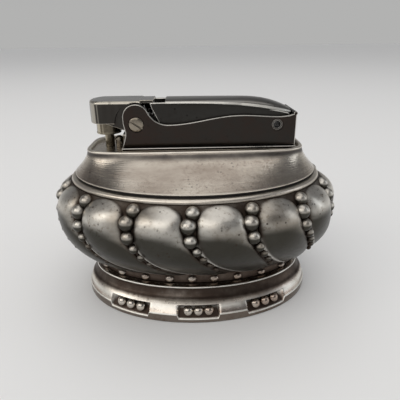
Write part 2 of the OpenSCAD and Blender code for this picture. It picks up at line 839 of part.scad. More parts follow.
wheel_teeth = 48;
wheel_cut = 0.3;
ratchet_r = 2.7;
ratchet_teeth = 12;
ratchet_t = 0.95;
ratchet_y0 = wheel_w / 2;

module spark_wheel() {
  teeth = [
    for (i = [0:2 * wheel_teeth - 1])
      let (t = 180 * i / wheel_teeth, r = wheel_r - (i % 2) * wheel_cut)
        [axle_x + r * cos(t), axle_z + r * sin(t)]
  ];
  ratchet = [
    for (i = [0:ratchet_teeth - 1], k = [0:1])
      let (t = 90 + 360 * (i + k * 0.85) / ratchet_teeth, r = ratchet_r - k * 0.5)
        [axle_x + r * cos(t), axle_z + r * sin(t)]
  ];
  color(steel)
    difference() {
      union() {
        slab_y(teeth, -wheel_w / 2, wheel_w / 2);
        slab_y(ratchet, ratchet_y0 - 0.1, ratchet_y0 + ratchet_t);
      }
      rod_y(axle_x, axle_z, axle_r + run_gap, -wheel_w, wheel_w);
    }
}

// Snuffer arm

arm_y = arm_w / 2;
arm_in_y = arm_y - arm_t;
arm_round = 4;
ear_relief_r = 6;
cheek_t = 0.9;
cheek_y = frame_in_y - side_gap;
hub_r = 3.2;
tongue_y = cheek_y - cheek_t - side_gap;
tongue_end_x = axle_x + 4.9;
wide_end_x = axle_x + 1.6;
// The pinion and the sector stand clear of the plane of the cheeks and skirts
pinion_y0 = -(cheek_y - cheek_t) + 0.1;
pinion_y1 = -2;
bridge_z = 57;
bridge_t = 0.8;
stem_r = 0.8;
// Gear teeth: half a pitch less the backlash, with straight flanks
addendum = 0.45;
dedendum = 0.6;
tooth_half = PI * gear_m / 4 - 0.07;
flank = 0.4;

// One tooth as four points around a centre, from its root to its tip and back
function tooth(cx, cz, r, t) =
  let (
    root = r - dedendum,
    tip = r + addendum,
    a_root = (tooth_half + dedendum * flank) / root * 180 / PI,
    a_tip = (tooth_half - addendum * flank) / tip * 180 / PI
  )
    [
      [cx + root * cos(t - a_root), cz + root * sin(t - a_root)],
      [cx + tip * cos(t - a_tip), cz + tip * sin(t - a_tip)],
      [cx + tip * cos(t + a_tip), cz + tip * sin(t + a_tip)],
      [cx + root * cos(t + a_root), cz + root * sin(t + a_root)]
    ];
mesh_angle = atan2(rivet_z - axle_z, rivet_x - axle_x);
pinion_outline = [
  for (i = [0:pinion_teeth - 1])
    each tooth(axle_x, axle_z, pinion_r, mesh_angle + 360 * (i + 0.5) / pinion_teeth)
];

// Plan of the arm: a half-oval left end and straight sides
function arm_plan(inward, right_x) = concat(
  [
    for (t = [90:7.5:270])
      [arm_end_x + arm_round + (arm_round - inward) * cos(t), (arm_y - inward) * sin(t)]
  ],
  [[right_x, -(arm_y - inward)], [right_x, arm_y - inward]]
);
module arm_slab(inward, right_x, z0, z1) {
  translate([0, 0, z0]) linear_extrude(z1 - z0) polygon(arm_plan(inward, right_x));
}
cheek_outline = [
  [wick_x, arm_low_z], [axle_x - 2.3, axle_z - 2.2], [axle_x + 1.5, axle_z + 2.6],
  [axle_x - 1.5, arm_z - arm_t], [wick_x, arm_z - arm_t]
];

module snuffer_arm() {
  color(silver)
    difference() {
      union() {
        difference() {
          arm_slab(0, wide_end_x, arm_low_z, arm_z);
          arm_slab(arm_t, wide_end_x + 1, arm_low_z - 1, arm_z - arm_t);
          for (s = [-1, 1])
            rod_y(axle_x, axle_z, ear_relief_r, s * (arm_y + cheek_y) / 2 - (arm_y - cheek_y) / 2 - 0.01,
              s * (arm_y + cheek_y) / 2 + (arm_y - cheek_y) / 2 + 0.01);
          translate([axle_x - 5, -arm_y - 1, arm_low_z - 1])
            cube([10, 2 * arm_y + 2, arm_z - arm_t - arm_low_z + 1]);
        }
        translate([wide_end_x - 0.5, -tongue_y, arm_z - arm_t])
          cube([tongue_end_x - wide_end_x + 0.5, 2 * tongue_y, arm_t]);
        for (s = [0, 1])
          mirror([0, s, 0])
            union() {
              slab_y(cheek_outline, cheek_y - cheek_t, cheek_y);
              rod_y(axle_x, axle_z, hub_r, cheek_y - cheek_t, cheek_y);
            }
        slab_y(pinion_outline, pinion_y0, pinion_y1);
        rod_y(axle_x, axle_z, hub_r, -cheek_y, pinion_y0 + 0.1);
        rod_y(axle_x, axle_z, 2.3, ratchet_y0 + ratchet_t + 0.15, cheek_y);
        translate([wick_x - 3.2, -arm_in_y - 0.1, bridge_z])
          cube([6.2, 2 * arm_in_y + 0.2, bridge_t]);
      }
      rod_y(axle_x, axle_z, axle_r + run_gap, -arm_y - 1, arm_y + 1);
      rod(wick_x, stem_r + run_gap, bridge_z - 1, bridge_z + bridge_t + 0.5);
    }
}

module wheel_pawl() {
  y0 = ratchet_y0 + 0.1;
  outline = [
    [axle_x - 4.2, arm_z - arm_t - seat_gap], [axle_x - 4.2, arm_z - arm_t - 0.35],
    [axle_x - 1.6, arm_z - arm_t - 0.35], [axle_x - 0.25, axle_z + ratchet_r + 0.1],
    [axle_x + 0.05, axle_z + ratchet_r + 0.1], [axle_x - 1.2, arm_z - arm_t - seat_gap]
  ];
  color(steel) slab_y(outline, y0, y0 + 0.7);
}

// Snuffer cup: it slides up in the arm against its spring

cup_wall = 0.6;
stem_top_z = bridge_z + bridge_t + 0.9;

module snuffer_cup() {
  color(silver)
    difference() {
      union() {
        rod(wick_x, cup_r, cup_z, cup_z + cup_h, fine);
        rod(wick_x, cup_r + 0.15, cup_z, cup_z + 0.45, fine);
        rod(wick_x, stem_r, cup_z + cup_h - 0.2, stem_top_z);
      }
      rod(wick_x, cup_r - cup_wall, cup_z - 1, cup_z + cup_h - cup_wall, fine);
    }
}

module snuffer_spring() {
  color(steel)
    coil(wick_x, 1.4, 0.3, cup_z + cup_h + seat_gap, bridge_z - seat_gap, 2);
}

module snuffer_clip() {
  color(steel)
    difference() {
      rod(wick_x, 1.7, bridge_z + bridge_t + seat_gap, bridge_z + bridge_t + 0.4);
      rod(wick_x, stem_r, 0, stem_top_z + 1);
      translate([wick_x, -0.5, bridge_z]) cube([3, 1, 3]);
    }
}

// Thumb lever

cap_left_x = axle_x + 8.25;
prong_x = axle_x + 3.95;
crown_fall_x = 12;
cap_t = 1;
function crown_z(x) = lever_z - 1.05 * pow(max(0, (x - crown_fall_x) / 9.9), 2.55);
function edge_z(x) = lever_z - 0.65 - 3.1 * pow((x - prong_x) / 39.2, 3.2);
function cap_y(x) = lever_w / 2 * sqrt(1 - pow(max(0, (x - 19) / 10.6), 2.4));
// One cross-section of the cap, crowned above and flat below
function cap_section(x) =
  let (y = cap_y(x), e = edge_z(x), c = max(e + 0.15, crown_z(x)))
    concat(
      [[x, -y, e - cap_t], [x, y, e - cap_t], [x, y, e - 0.15]],
      [for (t = [20:20:160]) [x, (y - 0.15) * cos(t), e + (c - e) * pow(sin(t), 0.8)]],
      [[x, -y, e - 0.15]]
    );
cap_stations = concat([cap_left_x], [for (x = [-4:4:16]) x], [for (x = [18:1.5:lever_end_x - 0.5]) x], [lever_end_x]);
skirt_y = cheek_y;
skirt_outline = concat(
  [[prong_x, edge_z(prong_x)], [prong_x + 0.4, 58.5], [prong_x + 2.6, 54], [prong_x + 3.8, 53]],
  [[10, 51.8], [rivet_x - 1, rivet_z - 3.2], [rivet_x + 1, rivet_z - 3.2], [lever_end_x - 1, 51.8]],
  [[lever_end_x - 0.4, 55.6], [24, 56.2], [21.5, edge_z(21.5) - 0.4], [16, edge_z(16) - 0.4], [4, edge_z(4) - 0.4]],
  [[cap_left_x, edge_z(cap_left_x)]]
);
sector_first = -3;
sector_last = 1;
sector_pitch = 360 / sector_teeth;
// The sector's teeth, and a short web behind them on the front skirt
sector_outline = concat(
  [
    for (i = [sector_first:sector_last])
      each tooth(rivet_x, rivet_z, sector_r, 180 + mesh_angle + sector_pitch * i)
  ],
  [[axle_x + 8.8, axle_z - 1.4], [axle_x + 8.8, axle_z], [axle_x + 7.4, axle_z + 2.4], [axle_x + 5.6, axle_z + 4.7]]
);
// Where the sector's web is joined to the skirt
web_joint = [
  [axle_x + 5.4, axle_z + 3.4], [axle_x + 7, axle_z], [axle_x + 8.8, axle_z - 1],
  [axle_x + 8.8, axle_z], [axle_x + 7.4, axle_z + 2.4], [axle_x + 5.8, axle_z + 4.2]
];
pad_z = edge_z(spring_x) - cap_t;

module thumb_lever() {
  color(silver)
    difference() {
      union() {
        skin([for (x = cap_stations) cap_section(x)]);
        for (s = [0, 1])
          mirror([0, s, 0]) slab_y(skirt_outline, skirt_y - skirt_t, skirt_y);
        slab_y(sector_outline, pinion_y0, pinion_y1 - 0.1);
        slab_y(web_joint, -skirt_y, pinion_y0 + 0.1);
      }
      rod_y(rivet_x, rivet_z, rivet_r + run_gap, -frame_y, frame_y);
    }
}

module lever_spring() {
  color(steel)
    coil(spring_x, spring_r, spring_wire, floor_z + seat_gap, pad_z - 0.05, 6);
}

bowl();
collar();
foot();
base_plate();
felt_pad();
base_screws();
deck_plate();
tank();
tank_floor();
filler_gasket();
filler_screw();
cotton_packing();
wick();
wick_tube();
spark_guard();
flint_tube();
flint();
flint_spring();
flint_screw();
frame();
frame_screws();
axle_screw();
lever_rivet();
spark_wheel();
wheel_pawl();
snuffer_arm();
snuffer_cup();
snuffer_spring();
snuffer_clip();
thumb_lever();
lever_spring();
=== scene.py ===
from math import atan2, cos, pi, radians, sin, sqrt, tan

import bmesh
import bpy
from mathutils import Matrix, Vector


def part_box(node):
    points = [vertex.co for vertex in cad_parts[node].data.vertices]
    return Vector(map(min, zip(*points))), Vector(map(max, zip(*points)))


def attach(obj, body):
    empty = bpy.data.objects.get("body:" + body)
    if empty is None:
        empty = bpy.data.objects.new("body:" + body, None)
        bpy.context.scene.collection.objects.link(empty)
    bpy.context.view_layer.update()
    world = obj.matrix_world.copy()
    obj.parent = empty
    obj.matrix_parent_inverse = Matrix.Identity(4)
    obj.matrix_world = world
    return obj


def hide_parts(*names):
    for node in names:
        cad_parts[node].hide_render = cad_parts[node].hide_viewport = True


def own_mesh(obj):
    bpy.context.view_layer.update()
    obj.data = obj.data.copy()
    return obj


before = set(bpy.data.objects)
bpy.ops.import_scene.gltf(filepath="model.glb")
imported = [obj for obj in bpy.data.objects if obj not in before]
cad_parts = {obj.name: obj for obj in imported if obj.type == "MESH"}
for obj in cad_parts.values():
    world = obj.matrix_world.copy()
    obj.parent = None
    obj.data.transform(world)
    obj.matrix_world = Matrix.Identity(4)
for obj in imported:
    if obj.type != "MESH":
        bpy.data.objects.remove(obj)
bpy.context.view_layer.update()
mm = 0.001


# Several values of a dictionary at once
def pick(sizes, keys):
    return [sizes[key] for key in keys.split()]


# Nodes

# A value in a node tree; sums with it add the math nodes
class NodeValue:
    def __init__(self, tree, socket):
        self.tree = tree
        self.socket = socket

    def __add__(self, other):
        return calc("ADD", self, other)

    def __sub__(self, other):
        return calc("SUBTRACT", self, other)

    def __rsub__(self, other):
        return self * -1.0 + other

    def __mul__(self, other):
        return calc("MULTIPLY", self, other)

    def __truediv__(self, other):
        return calc("DIVIDE", self, other)

    def __pow__(self, other):
        return calc("POWER", self, other)

    __radd__ = __add__
    __rmul__ = __mul__


# A new node; its inputs take links, or plain numbers and colours
def addNode(tree, kind, inputs=None, **settings):
    node = tree.nodes.new(kind)
    for name, value in settings.items():
        setattr(node, name, value)
    for key, value in (inputs or {}).items():
        if isinstance(value, NodeValue):
            tree.links.new(value.socket, node.inputs[key])
        else:
            node.inputs[key].default_value = (*value, 1.0) if node.inputs[key].type == "RGBA" else value
    return node


def addValue(tree, kind, output=0, inputs=None, **settings):
    return NodeValue(tree, addNode(tree, kind, inputs, **settings).outputs[output])


plainMath = {"SINE": sin, "COSINE": cos, "MAXIMUM": max, "MINIMUM": min}


# One sum serves plain numbers and values in a node tree
def calc(operation, first, *others):
    if not isinstance(first, NodeValue):
        return plainMath[operation](first, *others)
    return addValue(first.tree, "ShaderNodeMath", 0, dict(enumerate((first,) + others)), operation=operation)


def mix(a, b, t):
    return a + (b - a) * t


def clamp(t):
    return calc("MINIMUM", calc("MAXIMUM", t, 0.0), 1.0)


# Turns equal steps into angles that lie about evenly along an oval
def evenAngle(a, b, t):
    return t + (a - b) / (a + b) / 2 * calc("SINE", 2 * t)


def splitUp(vector):
    parts = addNode(vector.tree, "ShaderNodeSeparateXYZ", {0: vector}).outputs
    return [NodeValue(vector.tree, part) for part in parts]


def newGeometryTree(name, sizes):
    tree = bpy.data.node_groups.new(name, "GeometryNodeTree")
    wanted = [("Geometry", "INPUT", "Geometry"), ("Geometry", "OUTPUT", "Geometry")]
    wanted += [(key, "INPUT", "Float") for key in sizes]
    for key, way, kind in wanted + [("Material", "INPUT", "Material")]:
        tree.interface.new_socket(key, in_out=way, socket_type="NodeSocket" + kind)
    entry = addNode(tree, "NodeGroupInput")
    return tree, {socket.name: NodeValue(tree, socket) for socket in entry.outputs}


def endGeometryTree(tree, geometry, material):
    for kind in ("GeometryNodeSetShadeSmooth", "GeometryNodeRealizeInstances"):
        geometry = addValue(tree, kind, 0, {"Geometry": geometry})
    painted = addValue(tree, "GeometryNodeSetMaterial", 0, {"Geometry": geometry, "Material": material})
    addNode(tree, "NodeGroupOutput", {"Geometry": painted})


def runTree(obj, tree, sizes, material):
    modifier = obj.modifiers.new("shape", "NODES")
    modifier.node_group = tree
    named = {item.name: item.identifier for item in tree.interface.items_tree if item.in_out == "INPUT"}
    for key, value in sizes.items():
        modifier[named[key]] = float(value)
    modifier[named["Material"]] = material
    bakeModifiers(obj)


# Meshes

def bakeModifiers(obj):
    bpy.context.view_layer.update()
    shown = obj.evaluated_get(bpy.context.evaluated_depsgraph_get())
    mesh = bpy.data.meshes.new_from_object(shown)
    obj.modifiers.clear()
    obj.data = mesh


def newObject(name, data):
    obj = bpy.data.objects.new(name, data)
    bpy.context.scene.collection.objects.link(obj)
    return obj


# A new piece; its faces of wear and painted glint take the second material place until they are marked
def newPiece(name, vertices, faces, wornGlint=(), material=None):
    mesh = bpy.data.meshes.new(name)
    mesh.from_pydata([Vector(v) for v in vertices], [], faces)
    mesh.update()
    obj = newObject(name, mesh)
    mesh.materials.append(material)
    if wornGlint:
        mesh.materials.append(material)
        for i in wornGlint:
            mesh.polygons[i].material_index = 1
    return obj


def copyNode(node, name, material=None):
    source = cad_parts[node].data
    faces = [tuple(p.vertices) for p in source.polygons]
    return newPiece(name, [v.co for v in source.vertices], faces, (), material)


# Merges doubled points, then turns the faces outwards, or joins the flat ones of a CAD copy
def reshape(obj, merge=1e-6, joinFlat=False):
    shape = bmesh.new()
    shape.from_mesh(obj.data)
    bmesh.ops.remove_doubles(shape, verts=shape.verts, dist=merge)
    if joinFlat:
        flat = radians(0.6)
        bmesh.ops.dissolve_limit(shape, angle_limit=flat, verts=shape.verts, edges=shape.edges)
    else:
        bmesh.ops.recalc_face_normals(shape, faces=shape.faces)
    shape.to_mesh(obj.data)
    shape.free()


def smoothByAngle(obj, degrees):
    obj.data.shade_smooth()
    obj.data.set_sharp_from_angle(angle=radians(degrees))


def finishPiece(obj, body, slot, *nodes):
    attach(obj, body)
    if nodes:
        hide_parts(*nodes)


# One number for each point, edge or face
def mark(obj, key, values, domain="POINT"):
    obj.data.attributes.new(key, "FLOAT", domain).data.foreach_set("value", values)


def paint(mesh, material):
    mesh.materials.clear()
    mesh.materials.append(material)


# Turns the second material place into an attribute that the materials read as bare metal with wear and a
# painted glint
def markWornGlint(obj, material):
    mark(obj, "wornGlint", [float(face.material_index) for face in obj.data.polygons], "FACE")
    for face in obj.data.polygons:
        face.material_index = 0
    paint(obj.data, material)


# Rounded edges take the second material place, bare metal with wear and a painted glint
def roundEdges(obj, width, steps, limit="ANGLE"):
    soften = obj.modifiers.new("edges", "BEVEL")
    soften.width = width * mm
    soften.segments = steps
    soften.limit_method = limit
    soften.angle_limit = radians(32)
    soften.material = 1


# A closed form with its edges rounded and then its holes cut; crown widens the rounding around its top
def softened(form, width, holes=(), crown=0.0):
    obj = newPiece("softened", *form)
    reshape(obj)
    mesh = obj.data
    while len(mesh.materials) < 2:
        mesh.materials.append(None)
    if crown:
        top = max(v.co.z for v in mesh.vertices) - 1e-6
        onTop = [float(all(mesh.vertices[i].co.z > top for i in edge.vertices)) for edge in mesh.edges]
        mark(obj, "bevel_weight_edge", onTop, "EDGE")
        roundEdges(obj, crown, 8, "WEIGHT")
    if width:
        roundEdges(obj, width, 3)
    tools = []
    for hole in holes:
        tool = newPiece("hole", *hole)
        reshape(tool)
        cut = obj.modifiers.new("hole", "BOOLEAN")
        cut.operation = "DIFFERENCE"
        cut.solver = "EXACT"
        cut.object = tool
        tools.append(tool)
    bakeModifiers(obj)
    mesh = obj.data
    for spare in tools + [obj]:
        bpy.data.objects.remove(spare)
    return mesh


# Flat faces keep their own direction, and the rounded edges carry the turn between them
def levelNormals(obj):
    smoothByAngle(obj, 40.0)
    level = obj.modifiers.new("normals", "WEIGHTED_NORMAL")
    level.keep_sharp = True
    level.weight = 100
    bakeModifiers(obj)


# One piece from several closed forms, each with its rounding, holes and crown
def assemble(name, forms, material, slot, body, node):
    shape = bmesh.new()
    for form in forms:
        shape.from_mesh(softened(*form))
    obj = newPiece(name, [], [])
    shape.to_mesh(obj.data)
    shape.free()
    markWornGlint(obj, material)
    levelNormals(obj)
    finishPiece(obj, body, slot, node)


# Faces between rows of points that close round; closed joins the last row to the first
def netFaces(rows, around, closed=False):
    faces = []
    for i in range(rows if closed else rows - 1):
        near = i * around
        far = (i + 1) % rows * around
        for j in range(around):
            beside = (j + 1) % around
            faces.append((near + j, near + beside, far + beside, far + j))
    return faces


# A closed form through rings of points in millimetres, with flat ends
def loft(rings):
    n = len(rings[0])
    last = n * (len(rings) - 1)
    faces = [tuple(range(n)), tuple(range(last + n - 1, last - 1, -1))]
    return [Vector(p) * mm for ring in rings for p in ring], faces + netFaces(len(rings), n)


# A prism: an outline in X and Z carried along Y, or one in X and Y carried upwards
def prism(outline, low, high, upright=False):
    ends = (low, high)
    return loft([[(p, q, end) if upright else (p, end, q) for p, q in outline] for end in ends])


def circle(x, z, radius, sides=64):
    turns = [2 * pi * i / sides for i in range(sides)]
    return [(x + radius * cos(t), z + radius * sin(t)) for t in turns]


def rod(x, z, radius, y0, y1, sides=64):
    return prism(circle(x, z, radius, sides), y0, y1)


def post(x, radius, z0, z1, sides=48):
    return prism(circle(x, 0.0, radius, sides), z0, z1, True)


def block(low, high):
    corners = [(low[0], low[2]), (high[0], low[2]), (high[0], high[2]), (low[0], high[2])]
    return prism(corners, low[1], high[1])


# A point of an oval: half length, half depth, height, squareness
def ovalPoint(oval, t):
    a, b, z, square = oval
    c, s = cos(t), sin(t)
    reach = (abs(c) ** square + abs(s) ** square) ** (-1 / square)
    return (a * c * reach * mm, b * s * reach * mm, z * mm)


# A curve through points, with steps between each two
def smoothThrough(points, steps):
    curve = []
    line = points[:1] + points + points[-1:]
    for corners in zip(line, line[1:], line[2:], line[3:]):
        for k in range(steps):
            t = k / steps
            curve.append(tuple(
                b + 0.5 * t * (c - a + t * (2 * a - 5 * b + 4 * c - d + t * (3 * b - a - 3 * c + d)))
                for a, b, c, d in zip(*corners)
            ))
    return curve + points[-1:]


# Materials

def newMaterial(name):
    material = bpy.data.materials.new(name)
    material.use_nodes = True
    material.node_tree.nodes.clear()
    return material, material.node_tree


def endMaterial(tree, inputs):
    shader = addValue(tree, "ShaderNodeBsdfPrincipled", 0, inputs)
    addNode(tree, "ShaderNodeOutputMaterial", {"Surface": shader})


def noiseOn(vector, scale, detail, roughness):
    inputs = {"Scale": scale, "Detail": detail, "Roughness": roughness, "Vector": vector}
    return addValue(vector.tree, "ShaderNodeTexNoise", "Fac", inputs)


def stretched(vector, scale):
    return addValue(vector.tree, "ShaderNodeMapping", 0, {"Scale": scale, "Vector": vector})


def remap(value, low, high, toLow=0.0, toHigh=1.0):
    inputs = dict(enumerate((value, low, high, toLow, toHigh)))
    return addValue(value.tree, "ShaderNodeMapRange", 0, inputs, interpolation_type="SMOOTHSTEP")


def blendColor(share, first, second):
    return addValue(share.tree, "ShaderNodeMix", 2, {"Factor": share, 6: first, 7: second}, data_type="RGBA")


def bumped(height, strength, reach):
    inputs = {"Strength": strength, "Distance": reach * mm, "Height": height}
    return addValue(height.tree, "ShaderNodeBump", 0, inputs)


# Plated metal: bright on the crowns, with stains, pits and fine rubbing; tarnish and painted shade in
# recesses, painted shade on faces that turn downwards, and edges with wear and a painted glint
def platedMetal(name, look):
    material, tree = newMaterial(name)
    place = addValue(tree, "ShaderNodeTexCoord", "Object")
    stain = remap(noiseOn(stretched(place, look["stainStretch"]), look["stainScale"], 6.0, 0.62), 0.4, 0.66)
    cloud = noiseOn(place, look["stainScale"] * 3.1, 5.0, 0.6)
    reach = {"Distance": look["hollowReach"] * mm}
    # Ambient occlusion: painted shade in recesses and corners, standing also for tarnish there
    closed = 1.0 - addValue(tree, "ShaderNodeAmbientOcclusion", "AO", reach, samples=8)
    # The mesh's own mark of painted shade and tarnish
    marked = addValue(tree, "ShaderNodeAttribute", "Fac", attribute_name="hollow")
    sideways, _, upwards = splitUp(addValue(tree, "ShaderNodeNewGeometry", "Normal"))
    # Painted shade: faces that turn downwards take the under tone
    below = remap(upwards, look["paintedShadeHigh"], look["paintedShadeLow"], 0.0, look["paintedShadeShare"])
    # Grime and painted shade together, with a cloudy jitter
    dirtAndShade = closed * look["closedShare"] + marked * look["hollowShare"] + (cloud - 0.5) * 0.6
    dirtAndShade = remap(dirtAndShade, 0.1, 0.95)
    plate = blendColor(stain * look["stainShare"], look["plate"], look["stain"])
    speck = remap(noiseOn(place, look["speckScale"], 3.0, 0.7), 0.5, 0.66, 0.0, look["specks"])
    plate = blendColor(speck * remap(cloud, 0.38, 0.6), plate, look["stain"])
    finish = blendColor(dirtAndShade, blendColor(below, plate, look["under"]), look["dirtAndShade"])
    spots = {"Scale": look["pitScale"], "Vector": place}
    pit = remap(addValue(tree, "ShaderNodeTexVoronoi", "Distance", spots, feature="F1"), 0.22, 0.1)
    pit = pit * remap(cloud, 0.46, 0.58)
    finish = blendColor(pit * look["pits"], finish, look["dirtAndShade"])
    # Edges with wear, lightened further as a painted glint
    edge = addValue(tree, "ShaderNodeAttribute", "Fac", attribute_name="wornGlint")
    edge = edge * remap(cloud, 0.34, 0.5, look["wornGlintShare"] * 0.6, look["wornGlintShare"])
    finish = blendColor(edge, finish, look["wornGlintTone"])
    # A painted glint: a bright strip on faces turned towards the left, and a weaker one beside it
    if look["paintedGlint"]:
        glintBand = remap(sideways, -0.5, -0.62) * remap(sideways, -0.93, -0.85)
        glintBand = glintBand + remap(sideways, -0.24, -0.3, 0.0, 0.4) * remap(sideways, -0.42, -0.36)
        finish = blendColor(glintBand * look["paintedGlint"], finish, look["wornGlintTone"])
    rubbing = noiseOn(stretched(place, look["rubStretch"]), look["rubScale"], 3.0, 0.6)
    rough = (rubbing - 0.5) * look["rubRough"] + look["roughness"]
    rough = rough + dirtAndShade * 0.2 + cloud * 0.08 + edge * look["wornGlintRough"]
    grain = noiseOn(place, look["grainScale"], 5.0, 0.65)
    relief = rubbing * look["rub"] + grain * look["grain"] - pit * (look["pits"] * 0.4)
    normal = bumped(relief, look["bump"], 0.12)
    endMaterial(tree, {"Base Color": finish, "Metallic": 1.0, "Roughness": rough, "Normal": normal})
    return material


# In each look the under tone is painted shade on downward faces, the dark recess tone is grime with painted
# shade, and the edge tone is wear with a painted glint
bodyLook = {
    "plate": (0.74, 0.71, 0.65),
    "stain": (0.36, 0.31, 0.25),
    "dirtAndShade": (0.05, 0.037, 0.029),
    "under": (0.036, 0.034, 0.028),
    "wornGlintTone": (0.68, 0.66, 0.62),
    "wornGlintShare": 0.9,
    "wornGlintRough": 0.1,
    "paintedGlint": 0.0,
    "specks": 0.85,
    "speckScale": 900.0,
    "stainScale": 70.0,
    "stainStretch": (1.0, 1.0, 1.0),
    "stainShare": 0.75,
    "hollowReach": 2.6,
    "closedShare": 1.1,
    "hollowShare": 0.8,
    "paintedShadeHigh": 0.4,
    "paintedShadeLow": 0.0,
    "paintedShadeShare": 0.97,
    "pitScale": 620.0,
    "pits": 0.9,
    "roughness": 0.3,
    "rubStretch": (1.0, 1.0, 3.0),
    "rubScale": 600.0,
    "rubRough": 0.22,
    "rub": 0.4,
    "grainScale": 900.0,
    "grain": 0.5,
    "bump": 0.35,
}
collarLook = dict(
    bodyLook, stainScale=34.0, stainStretch=(0.8, 0.8, 2.4), roughness=0.2, rubStretch=(0.12, 0.12, 9.0),
    rubScale=420.0, rub=1.1, rubRough=0.2, pits=0.5, specks=0.5, closedShare=0.7, hollowReach=1.0,
    plate=(0.72, 0.66, 0.57), stain=(0.3, 0.235, 0.19), paintedShadeHigh=0.42, paintedShadeLow=0.08, paintedShadeShare=0.7,
    dirtAndShade=(0.07, 0.064, 0.062), under=(0.12, 0.1, 0.085), hollowShare=0.85,
    wornGlintTone=(0.95, 0.89, 0.79), wornGlintShare=1.0, wornGlintRough=0.16,
)
footLook = dict(
    bodyLook, stainScale=60.0, roughness=0.18, plate=(0.82, 0.755, 0.67),
    stain=(0.36, 0.26, 0.205), dirtAndShade=(0.062, 0.045, 0.036), pits=0.7, bump=0.25, hollowReach=1.1,
    closedShare=0.6, hollowShare=0.85, paintedShadeHigh=0.55, paintedShadeLow=0.12, paintedShadeShare=0.85,
    under=(0.14, 0.11, 0.09), wornGlintTone=(0.95, 0.93, 0.87), wornGlintShare=1.0, wornGlintRough=0.22,
)
beadLook = dict(
    footLook, closedShare=0.2, paintedShadeHigh=0.1, paintedShadeLow=-0.4, paintedShadeShare=0.5, plate=(0.72, 0.67, 0.6),
)
mechanismLook = dict(
    bodyLook, plate=(0.036, 0.035, 0.032), stain=(0.05, 0.028, 0.022), stainScale=38.0, stainShare=0.5,
    dirtAndShade=(0.012, 0.011, 0.01), under=(0.012, 0.011, 0.01), roughness=0.12, hollowReach=1.0,
    closedShare=0.6, hollowShare=0.0, rubStretch=(0.3, 1.0, 3.0), rubScale=900.0, rubRough=0.12, rub=0.3,
    grain=0.25, bump=0.12, pits=0.35, specks=0.4, paintedShadeHigh=0.75, paintedShadeLow=0.3, paintedShadeShare=0.2,
    wornGlintTone=(0.6, 0.58, 0.54), wornGlintShare=0.95, wornGlintRough=0.14,
)
armLook = dict(
    mechanismLook, plate=(0.06, 0.056, 0.051), stain=(0.04, 0.036, 0.032), stainShare=0.8,
    stainStretch=(2.0, 1.6, 0.12), stainScale=110.0, paintedGlint=0.6, wornGlintTone=(0.66, 0.62, 0.54), pits=0.0,
)
leverLook = dict(
    mechanismLook, plate=(0.32, 0.315, 0.3), stain=(0.2, 0.18, 0.16), roughness=0.27,
    rubStretch=(0.2, 2.0, 1.0), rub=0.9, bump=0.3, pits=0.7, paintedShadeShare=0.9, wornGlintTone=(0.85, 0.83, 0.78),
)
steelLook = dict(
    mechanismLook, plate=(0.36, 0.325, 0.27), stain=(0.2, 0.165, 0.125), roughness=0.22, closedShare=0.9,
    paintedShadeShare=0.0,
)
cupLook = dict(
    steelLook, plate=(0.14, 0.12, 0.09), stainStretch=(5.0, 5.0, 0.1), stain=(0.05, 0.044, 0.034),
    stainShare=0.9, stainScale=130.0, paintedGlint=0.75, wornGlintTone=(0.6, 0.54, 0.42),
)
brassLook = dict(steelLook, plate=(0.55, 0.4, 0.18), stain=(0.35, 0.23, 0.1), roughness=0.25)
wheelLook = dict(
    steelLook, plate=(0.1, 0.095, 0.09), stain=(0.06, 0.055, 0.05), roughness=0.4, closedShare=1.2,
)


def clothMaterial(name, light, dark, threads):
    material, tree = newMaterial(name)
    place = addValue(tree, "ShaderNodeTexCoord", "Object")
    fibre = noiseOn(stretched(place, (1.0, 1.0, 0.25)), threads, 6.0, 0.7)
    tone = blendColor(remap(fibre, 0.35, 0.65), dark, light)
    normal = bumped(fibre, 0.8, 0.15)
    endMaterial(tree, {"Base Color": tone, "Roughness": 0.95, "Sheen Weight": 0.3, "Normal": normal})
    return material


bodySilver = platedMetal("bodySilver", bodyLook)
collarSilver = platedMetal("collarSilver", collarLook)
footSilver = platedMetal("footSilver", footLook)
beadSilver = platedMetal("beadSilver", beadLook)
mechanismPlate = platedMetal("mechanismPlate", mechanismLook)
armPlate = platedMetal("armPlate", armLook)
leverPlate = platedMetal("leverPlate", leverLook)
streakedGlintNickel = platedMetal("streakedGlintNickel", cupLook)
plainSteel = platedMetal("plainSteel", steelLook)
turnedBrass = platedMetal("turnedBrass", brassLook)
cutWheel = platedMetal("cutWheel", wheelLook)
greenFelt = clothMaterial("greenFelt", (0.1, 0.2, 0.12), (0.03, 0.07, 0.04), 2200.0)
whiteCotton = clothMaterial("whiteCotton", (0.8, 0.76, 0.66), (0.45, 0.4, 0.32), 1800.0)
oiledLeather = clothMaterial("oiledLeather", (0.2, 0.11, 0.06), (0.09, 0.05, 0.03), 1500.0)
print("materials ready")


# Bowl, in millimetres

bowlSize = {
    "length": 86.0,
    "depth": 64.4,
    "bellyZ": 30.0,
    "topZ": 38.2,
    "lowZ": 10.4,
    "lift": 1.7,
    "shoulder": 4.7,
    "gutter": 2.4,
    "wall": 1.5,
    "ridge": 0.5,
    "ridgeWidth": 0.03,
    "lobes": 14,
    "phase": 0.43,
    "neckLength": 62.8,
    "neckDepth": 33.2,
    "columns": 54,
    "rows": 112,
    "neckGap": 0.9,
    "upperCurve": 2.6,
    "endCurve": 2.3,
    "frontCurve": 2.0,
}
# A lobe's two edges: where down the wall each starts to swirl, its span, bend and reach, and its first place
lobeEdges = [(0.25, 0.6, 2.05, 0.87, 0.05), (0.16, 0.64, 1.6, 0.63, 0.84)]
# The gutter's depth down the wall: the start and span of each change, and the shares before and after it
gutterSteps = [(0.0, 0.1, 0.4, 1.0), (0.25, 0.37, 1.0, 0.45), (0.62, 0.38, 1.0, 0.6)]

